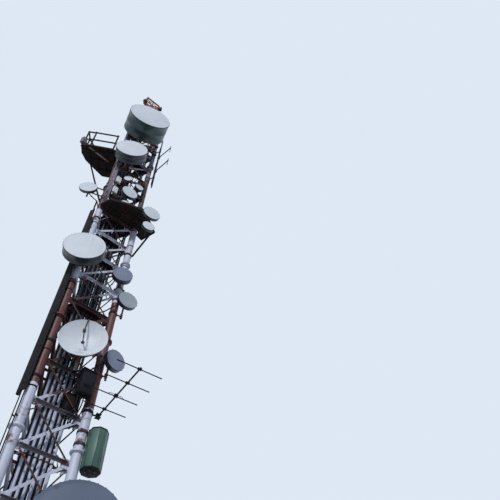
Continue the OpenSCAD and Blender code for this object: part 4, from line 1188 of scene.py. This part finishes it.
def makeWhips():
    bm = bmesh.new()
    at = whips["pipe"]
    long = whips["long"]
    profile = [(0, 0), (0, smallPipe), (long - 0.02, smallPipe), (long - 0.015, 0.030), (long - 0.005, 0.030),
               (long, 0.026), (long, 0)]
    addTurned(bm, profile, upright((at.x, at.y, whips["low"])), 28)
    for z in whips["arms"]:
        back = addArm(bm, 1, z, at)
        addUBolts(bm, at, z, arm["boltSpread"], back, smallPipe, whips["rod"])
    for z in whips["feet"]:
        foot, step = Vector((at.x, at.y, z)), Vector(whips["step"])
        long = step.length
        place = Matrix.Translation(foot) @ step.to_track_quat("X", "Z").to_matrix().to_4x4()
        addTurned(bm, [(0, 0), (0, 0.026), (0.16, 0.026), (0.17, 0.022), (long - 0.10, whips["radius"]),
                       (long - 0.10, 0.025), (long - 0.01, 0.025), (long, 0.018), (long, 0)], place, 24)
        addBlock(bm, Matrix.Translation(foot), (0.10, 0.09, 0.10), 0.006)
        addUBolts(bm, at, z, 0.03, -25, smallPipe, whips["rod"])
        rod = (at.x + whips["rodStep"][0], at.y + whips["rodStep"][1])
        for low, high, radius in ((0.8, 1.4, 0.0132), (1.37, 1.402, 0.016), (1.16, 1.22, 0.02)):
            addPost(bm, rod, z + low, z + high, radius, 16)
    for degrees, high in whips["lines"]:
        line = at + heading(degrees) * whips["lineReach"]
        addPost(bm, line, whips["lineLow"], high, whips["lineRadius"], 10)
        for z in (whips["lineLow"] + 0.2 + 0.5 * k for k in range(4)):
            addPost(bm, line, z, z + 0.02, whips["lineRadius"] + 0.005)
    finishPiece(bm, "whips_and_pipe", "darkPaint", True, ("whip_antennas",))


def makePoles():
    # poles of the middle balcony
    bm = bmesh.new()
    foot = level(15) + deckLook["rest"] + deckLook["thick"] + 0.0005
    for pole in poleTops:
        addPole(bm, (pole.x, pole.y, foot), pole.z - foot)
        addPost(bm, pole, foot, foot + 0.01, 0.06, 20)
        for n in (16, 17):
            if pole.z > level(n) + 0.04:
                addStay(bm, pole, n, 0.12)
                addUBolts(bm, pole, level(n) - 0.005, 0.026, 90, smallPipe, thinRod)
    # the one at its edge stands off on a flat bar
    x, y, z = edgePole.x, edgePole.y, level(15) + deckLook["rest"] + deckLook["thick"] / 2
    addPole(bm, (x, y, 15.987), 1.511, 0.005)
    turned = bearing((0, 0), edgeOut)
    bar = facing((x, y, z), turned)
    addBlock(bm, bar, (0.119, 0.044, 0.02), 0.002, (-0.06, 0, 0))
    addBlock(bm, bar, (0.012, 0.12, 0.08), 0.003, (-0.122, 0, 0.02))
    addUBolt(bm, (x, y, z + 0.02), turned + 180, smallPipe, thinRod)
    finishPiece(bm, "balcony_poles", "darkPaint", True, ("antenna_poles",))


makeCabinetFittings()
makeCabinetLeads()
makePrism()
makePanels()
makeBeam()
makeWhips()
makePoles()
print("cabinets, prism, panels, beam, whips and poles made")

# dark lines behind the ladder and beside it, as x, last level, y, and the way to their clips
backLines = [(x, last, 0.240, -0.004) for x, last in (
    (-0.21, 23), (-0.15, 21), (-0.09, 23), (-0.03, 19), (0.03, 21), (0.09, 19), (0.15, 23), (0.21, 17))]
backLines += [(x, last, 0.144, 0.004) for x, last in ((-0.29, 19), (-0.22, 21), (0.22, 17), (0.29, 21))]
backLook = {"radius": 0.021, "over": 0.12, "clip": (0.054, 0.036, 0.026)}
# lines up the left leg, as (angle, top), and two thin ones that run on to the foot, past the flanges
legLines = {"lines": ((190, 17.6), (204, 17.0), (218, 16.4)), "reach": 0.212, "radius": 0.026, "low": 9.4,
            "saddles": 7, "saddlesFrom": 9.6}
thinLegLines = {"angles": (190, 218), "reach": 0.196, "radius": 0.013, "low": 0.2, "clips": 8,
                "clipsFrom": 0.85}
# pale conduits on the front of the left leg, from the middle balcony up past the upper one
legConduits = {"lines": ((250, 22.3), (264, 21.3), (279, 22.0), (294, 20.9)), "reach": 0.166, "radius": 0.016,
               "low": 17.315, "clips": 8, "clipsFrom": 17.62, "clipPitch": 0.565}
# lines up the inner side of the right leg, as (angle, reach, top), and a box that hangs there
rightLines = {"lines": ((145, 0.24, 22.6), (155, 0.24, 24.3), (140, 0.30, 21.9), (150, 0.30, 23.4),
                        (160, 0.30, 20.8)),
              "radius": 0.021, "low": 15.03, "saddlesFrom": 15.2, "saddles": 8, "middle": 150,
              "saddleReach": 0.33, "holders": ((0.24, 0.10), (0.30, 0.17))}
hangingBox = {"z": 21.47, "reach": 0.45, "size": (0.14, 0.30, 0.42)}


def addLegLine(bm, i, degrees, reach, low, high, radius, sides):
    addRod(bm, beside(i, degrees, reach, low), beside(i, degrees, reach, high), radius, sides)


def addBand(bm, i, z):
    r = legRadius(z)
    addRing(bm, upright(legPoint(i, z)), 0.02, r - 0.001, r + 0.006, 40)


def addSaddle(bm, i, degrees, z, sunk, reach, wide, high):
    # stands off the leg's surface and holds a line
    start = legRadius(z) - sunk
    addBlock(bm, facing(legPoint(i, z), degrees), (reach - start, wide, high), 0.003,
             ((start + reach) / 2, 0, 0))


def makeBackLines():
    bm = bmesh.new()
    radius, over = backLook["radius"], backLook["over"]
    for x, last, y, clipY in backLines:
        addClippedLine(bm, x, y, last, over, radius, clipY, backLook["clip"])
        addPost(bm, onAxis(x, y), level(last) + over / 2, level(last) + over + 0.04, radius + 0.005, 10)
    finishPiece(bm, "back_lines", "darkJacket")


def makeLegLines():
    bm = bmesh.new()
    heights = [legLines["saddlesFrom"] + mast["panel"] * k for k in range(legLines["saddles"])]
    reach, low = legLines["reach"], legLines["low"]
    for degrees, high in legLines["lines"]:
        addLegLine(bm, 0, degrees, reach, low, high, legLines["radius"], 12)
        for z in heights:
            addSaddle(bm, 0, degrees, z, 0.002, reach + 0.002, 0.03, 0.03)
            addBlock(bm, facing(legPoint(0, z), degrees), (0.066, 0.066, 0.03), 0.008, (reach, 0, 0))
    for z in heights:
        addBand(bm, 0, z)
    reach = thinLegLines["reach"]
    for degrees in thinLegLines["angles"]:
        addLegLine(bm, 0, degrees, reach, thinLegLines["low"], low + 0.02, thinLegLines["radius"], 8)
        for k in range(thinLegLines["clips"]):
            z = thinLegLines["clipsFrom"] + mast["panel"] * k
            addSaddle(bm, 0, degrees, z, 0.001, reach + 0.011, 0.034, 0.024)
    finishPiece(bm, "leg_lines", "darkJacket")


def makeLegConduits():
    bm = bmesh.new()
    low, radius, reach = legConduits["low"], legConduits["radius"], legConduits["reach"]
    for degrees, high in legConduits["lines"]:
        addLegLine(bm, 0, degrees, reach, low, high, radius, 10)
        for z in (low, high - 0.03):
            addLegLine(bm, 0, degrees, reach, z, z + 0.045, radius + 0.005, 10)
        for k in range(legConduits["clips"]):
            z = legConduits["clipsFrom"] + legConduits["clipPitch"] * k
            if z < high - 0.1:
                addSaddle(bm, 0, degrees, z, 0.002, reach + 0.002, 0.040, 0.026)
    finishPiece(bm, "left_leg_conduits", "conduit", True)


def makeRightLines():
    bm = bmesh.new()
    for degrees, reach, high in rightLines["lines"]:
        addLegLine(bm, 1, degrees, reach, rightLines["low"], high, rightLines["radius"], 12)
        addLegLine(bm, 1, degrees, reach, high - 0.1, high + 0.02, rightLines["radius"] + 0.005, 12)
    for k in range(rightLines["saddles"]):
        z, degrees = rightLines["saddlesFrom"] + mast["panel"] * k, rightLines["middle"]
        addBand(bm, 1, z)
        addSaddle(bm, 1, degrees, z, 0, rightLines["saddleReach"], 0.04, 0.03)
        for reach, wide in rightLines["holders"]:
            addBlock(bm, facing(legPoint(1, z), degrees), (0.030, wide, 0.036), 0.004, (reach, 0, 0))
    finishPiece(bm, "right_leg_lines", "darkJacket")


def makeHangingBox():
    bm = bmesh.new()
    deep, wide, high = hangingBox["size"]
    place = facing(legPoint(1, hangingBox["z"]), rightLines["middle"]) @ shift(hangingBox["reach"], 0, 0)
    addBlock(bm, place, (deep, wide, high), 0.012)
    addBlock(bm, place, (0.016, wide - 0.03, high - 0.04), 0.005, (deep / 2 + 0.004, 0, 0))
    addBlock(bm, place, (deep + 0.03, wide + 0.02, 0.018), 0.005, (0, 0, high / 2 + 0.004))
    for up in (-0.14, 0.14):
        addBlock(bm, place, (0.09, 0.06, 0.04), 0.003, (-deep / 2 - 0.035, 0, up))
    for y in (-0.09, -0.03, 0.03, 0.09):
        addPin(bm, (0, y, -high / 2), rise(-0.04), 0.016, 12, place)
    finishPiece(bm, "hanging_box", "cabinetPaint", True)


def makeCornerKnees():
    # short bars across the corner at each leg, just under every level
    bm = bmesh.new()
    for n in range(mast["panels"] + 1):
        z = level(n) - 0.05
        y, knee = faceY(z) + 0.004, faceAt(z) / 2 - legRadius(z) - 0.26
        for i in range(3):
            addRod(bm, onFace(i, knee, y, z), onFace(i + 1, -knee, y, z), 0.016)
    finishPiece(bm, "corner_knees", "bracingPaint")


def makeGlandPlates():
    # plates close the feeders' opening in each deck, with a collar round each line
    bm = bmesh.new()
    for n in deckLevels:
        z = level(n) + deckLook["rest"] + 0.009
        addBlock(bm, Matrix.Translation(onAxis(0, feeders["y"], z)), (0.80, 0.15, 0.010), 0.002)
        for k, last in enumerate(feeders["lastLevel"]):
            if last >= n:
                addPin(bm, feederPoint(k, z - 0.03), rise(0.06), 0.042, 20)
    finishPiece(bm, "gland_plates", "decking")


def addPlate(bm, outline, low, high):
    part = bmesh.new()
    face = part.faces.new([part.verts.new((x, y, low)) for x, y in outline])
    made = bmesh.ops.extrude_face_region(part, geom=[face])["geom"]
    bmesh.ops.translate(part, vec=rise(high - low),
                        verts=[v for v in made if isinstance(v, bmesh.types.BMVert)])
    addPart(bm, part, Matrix.Translation(axisPoint))


def makeLandings():
    # plates between the legs just under the middle balcony, open round the ladder
    bm = bmesh.new()
    hatch = [(-0.2, -0.118), (0.2, -0.118), (0.2, 0.2), (-0.2, 0.2)]
    for n in (13, 14):
        z = level(n)
        inward, y = faceAt(z) / 2 - legRadius(z) - 0.16, faceY(z) + 0.05
        spots = [onFace(i, side * inward, y, z) - axisPoint for i in range(3) for side in (-1, 1)]
        frontLeft, frontRight, rightLow, rightHigh, leftHigh, leftLow = [(p.x, p.y) for p in spots]
        low = z + deckLook["rest"]
        for outline in ([frontLeft, frontRight, rightLow, hatch[1], hatch[0], leftLow],
                        [hatch[1], rightLow, rightHigh, hatch[2]],
                        [hatch[2], rightHigh, leftHigh, hatch[3]],
                        [hatch[3], leftHigh, leftLow, hatch[0]]):
            addPlate(bm, outline, low, low + 0.010)
        for a, b in zip(hatch, hatch[1:] + hatch[:1]):
            addStrip(bm, onAxis(*a), onAxis(*b), 0.012, 0.05, z + 0.02)
    finishPiece(bm, "inner_landings", "decking")


makeBackLines()
makeLegLines()
makeLegConduits()
makeRightLines()
makeHangingBox()
makeCornerKnees()
makeGlandPlates()
makeLandings()
print("lines, corner knees and landings made")

# waveguide runs: from each drum's back, clipped along to the feeder lines
runLook = {"radius": 0.017, "clipRadius": 0.024, "clipHigh": 0.024}
runs = (
    ((0.66, -0.17, 23.60), (0.69, -0.08, 23.72), (0.64, 0.08, 24.05),
     (0.58, 0.20, 24.36), (0.5675, 0.24, 24.32), (0.5675, 0.24, 24.10)),
    ((0.44, -0.30, 20.72), (0.48, -0.14, 20.50), (0.62, 0.06, 20.22),
     (0.78, 0.20, 20.02), (0.8275, 0.24, 19.86), (0.8275, 0.24, 19.60)),
    ((0.10, -0.16, 14.22), (0.22, 0.02, 14.02), (0.42, 0.15, 13.84),
     (0.58, 0.235, 13.62), (0.6325, 0.25, 13.36)),
    ((0.80, -0.20, 11.16), (0.80, -0.06, 10.98), (0.79, 0.10, 10.80),
     (0.77, 0.22, 10.58), (0.7625, 0.25, 10.30)),
    ((1.62, -0.36, 6.36), (1.50, -0.22, 6.20), (1.34, 0.0, 5.98),
     (1.18, 0.13, 5.78), (1.06, 0.22, 5.58), (1.0225, 0.25, 5.32)),
    ((1.60, -0.12, 13.46), (1.50, -0.20, 13.30), (1.34, -0.14, 13.12),
     (1.20, 0.04, 12.98), (1.06, 0.20, 12.96), (1.0225, 0.25, 12.86)),
    ((1.56, -0.18, 11.10), (1.44, -0.22, 10.96), (1.28, -0.10, 10.80),
     (1.16, 0.06, 10.66), (1.05, 0.20, 10.54), (1.0225, 0.25, 10.28)),
    ((-0.49, 0.18, 18.02), (-0.34, 0.13, 17.86), (-0.12, 0.10, 17.72),
     (0.0, 0.18, 17.60), (0.16, 0.30, 17.66), (0.36, 0.36, 17.86)),
    ((0.68, -0.12, 18.62), (0.70, -0.02, 18.44), (0.72, 0.14, 18.20), (0.7625, 0.25, 17.96)),
    ((1.19, -0.20, 14.22), (1.16, -0.08, 14.06), (1.08, 0.10, 13.86), (1.0225, 0.25, 13.60)),
)


def makeRuns():
    bm = bmesh.new()
    high = runLook["clipHigh"]
    for path in runs:
        addTube(bm, path, runLook["radius"], 8, 5)
        for x, y, z in path[1:-1]:
            addPin(bm, (x, y, z - high / 2), rise(high), runLook["clipRadius"], 10)
    finishPiece(bm, "waveguide_runs", "darkJacket", True)


makeRuns()
print("waveguide runs made")

# camera, light and ground
view = {
    "place": (-2.9047, -10.3949, 1.4365), "heading": 43.7785, "pitch": 53.8855, "roll": -2.5150,
    "lens": 38.835, "sensor": 36, "farthest": 200,
}
light = {
    "sunFrom": (-0.62, -0.66, 0.62), "sunStrength": 1.75, "sunSize": 8, "worldStrength": 0.42,
    "worldColour": (206, 220, 240), "background": (222, 232, 244), "floorColour": (212, 213, 212),
    "floorLift": 0.28, "floorRadius": 60,
}


def putInScene(name, data):
    made = bpy.data.objects.new(name, data)
    bpy.context.scene.collection.objects.link(made)
    return made


def makeCamera():
    turn, pitch, roll = (math.radians(view[k]) for k in ("heading", "pitch", "roll"))
    ahead = Vector((math.sin(turn), math.cos(turn), 0))
    across = Vector((math.cos(turn), -math.sin(turn), 0))
    forward = math.cos(pitch) * ahead + math.sin(pitch) * rise(1)
    up = -math.sin(pitch) * ahead + math.cos(pitch) * rise(1)
    right = math.cos(roll) * across + math.sin(roll) * up
    above = -math.sin(roll) * across + math.cos(roll) * up
    data = bpy.data.cameras.new("camera")
    data.lens = view["lens"]
    data.sensor_width = view["sensor"]
    data.clip_end = view["farthest"]
    camera = putInScene("camera", data)
    rotation = Matrix((right, above, -forward)).transposed().to_4x4()
    camera.matrix_world = Matrix.Translation(view["place"]) @ rotation
    bpy.context.scene.camera = camera


def seenDirectly(tree):
    # 1 for what the camera sees, also through glass and in a reflection, and 0 for the light on the mast
    path = addNode(tree, "LightPath").outputs
    seen = path["Is Camera Ray"]
    for name in ("Is Glossy Ray", "Is Transmission Ray"):
        seen = addMaths(tree, "ADD", seen, path[name], use_clamp=True)
    return seen


def makeLight():
    sun = bpy.data.lights.new("sun", "SUN")
    sun.energy = light["sunStrength"]
    sun.angle = math.radians(light["sunSize"])
    putInScene("sun", sun).rotation_euler = Vector(light["sunFrom"]).to_track_quat("Z", "Y").to_euler()
    world = bpy.data.worlds.new("world")
    bpy.context.scene.world = world
    world.use_nodes = True
    tree = world.node_tree
    tree.nodes.clear()
    inputs = {"Color": linear(light["worldColour"]), "Strength": light["worldStrength"]}
    soft = addNode(tree, "Background", inputs)
    pale = addNode(tree, "Background", {"Color": linear(light["background"])})
    mix = addNode(tree, "MixShader", {"Fac": seenDirectly(tree), 1: soft.outputs[0], 2: pale.outputs[0]})
    addNode(tree, "OutputWorld", {"Surface": mix.outputs[0]})


def makeFloor():
    bm = bmesh.new()
    bmesh.ops.create_circle(bm, cap_ends=True, segments=64, radius=light["floorRadius"],
                            matrix=Matrix.Translation(axisPoint - rise(0.002)))
    mesh = bpy.data.meshes.new("floor")
    bm.to_mesh(mesh)
    bm.free()
    material, tree, shader = startMaterial("floorPaint", {"roughness": 0.9})
    # the camera sees the floor a little paler than the light makes it
    lift = addMaths(tree, "MULTIPLY", seenDirectly(tree), light["floorLift"])
    fill(tree, shader, {"Base Color": linear(light["floorColour"]), "Emission Color": (1, 1, 1, 1),
                        "Emission Strength": lift})
    mesh.materials.append(material)
    putInScene("floor", mesh)


makeCamera()
makeLight()
makeFloor()
bpy.context.scene.view_settings.view_transform = "Standard"
print("camera, light and floor made")
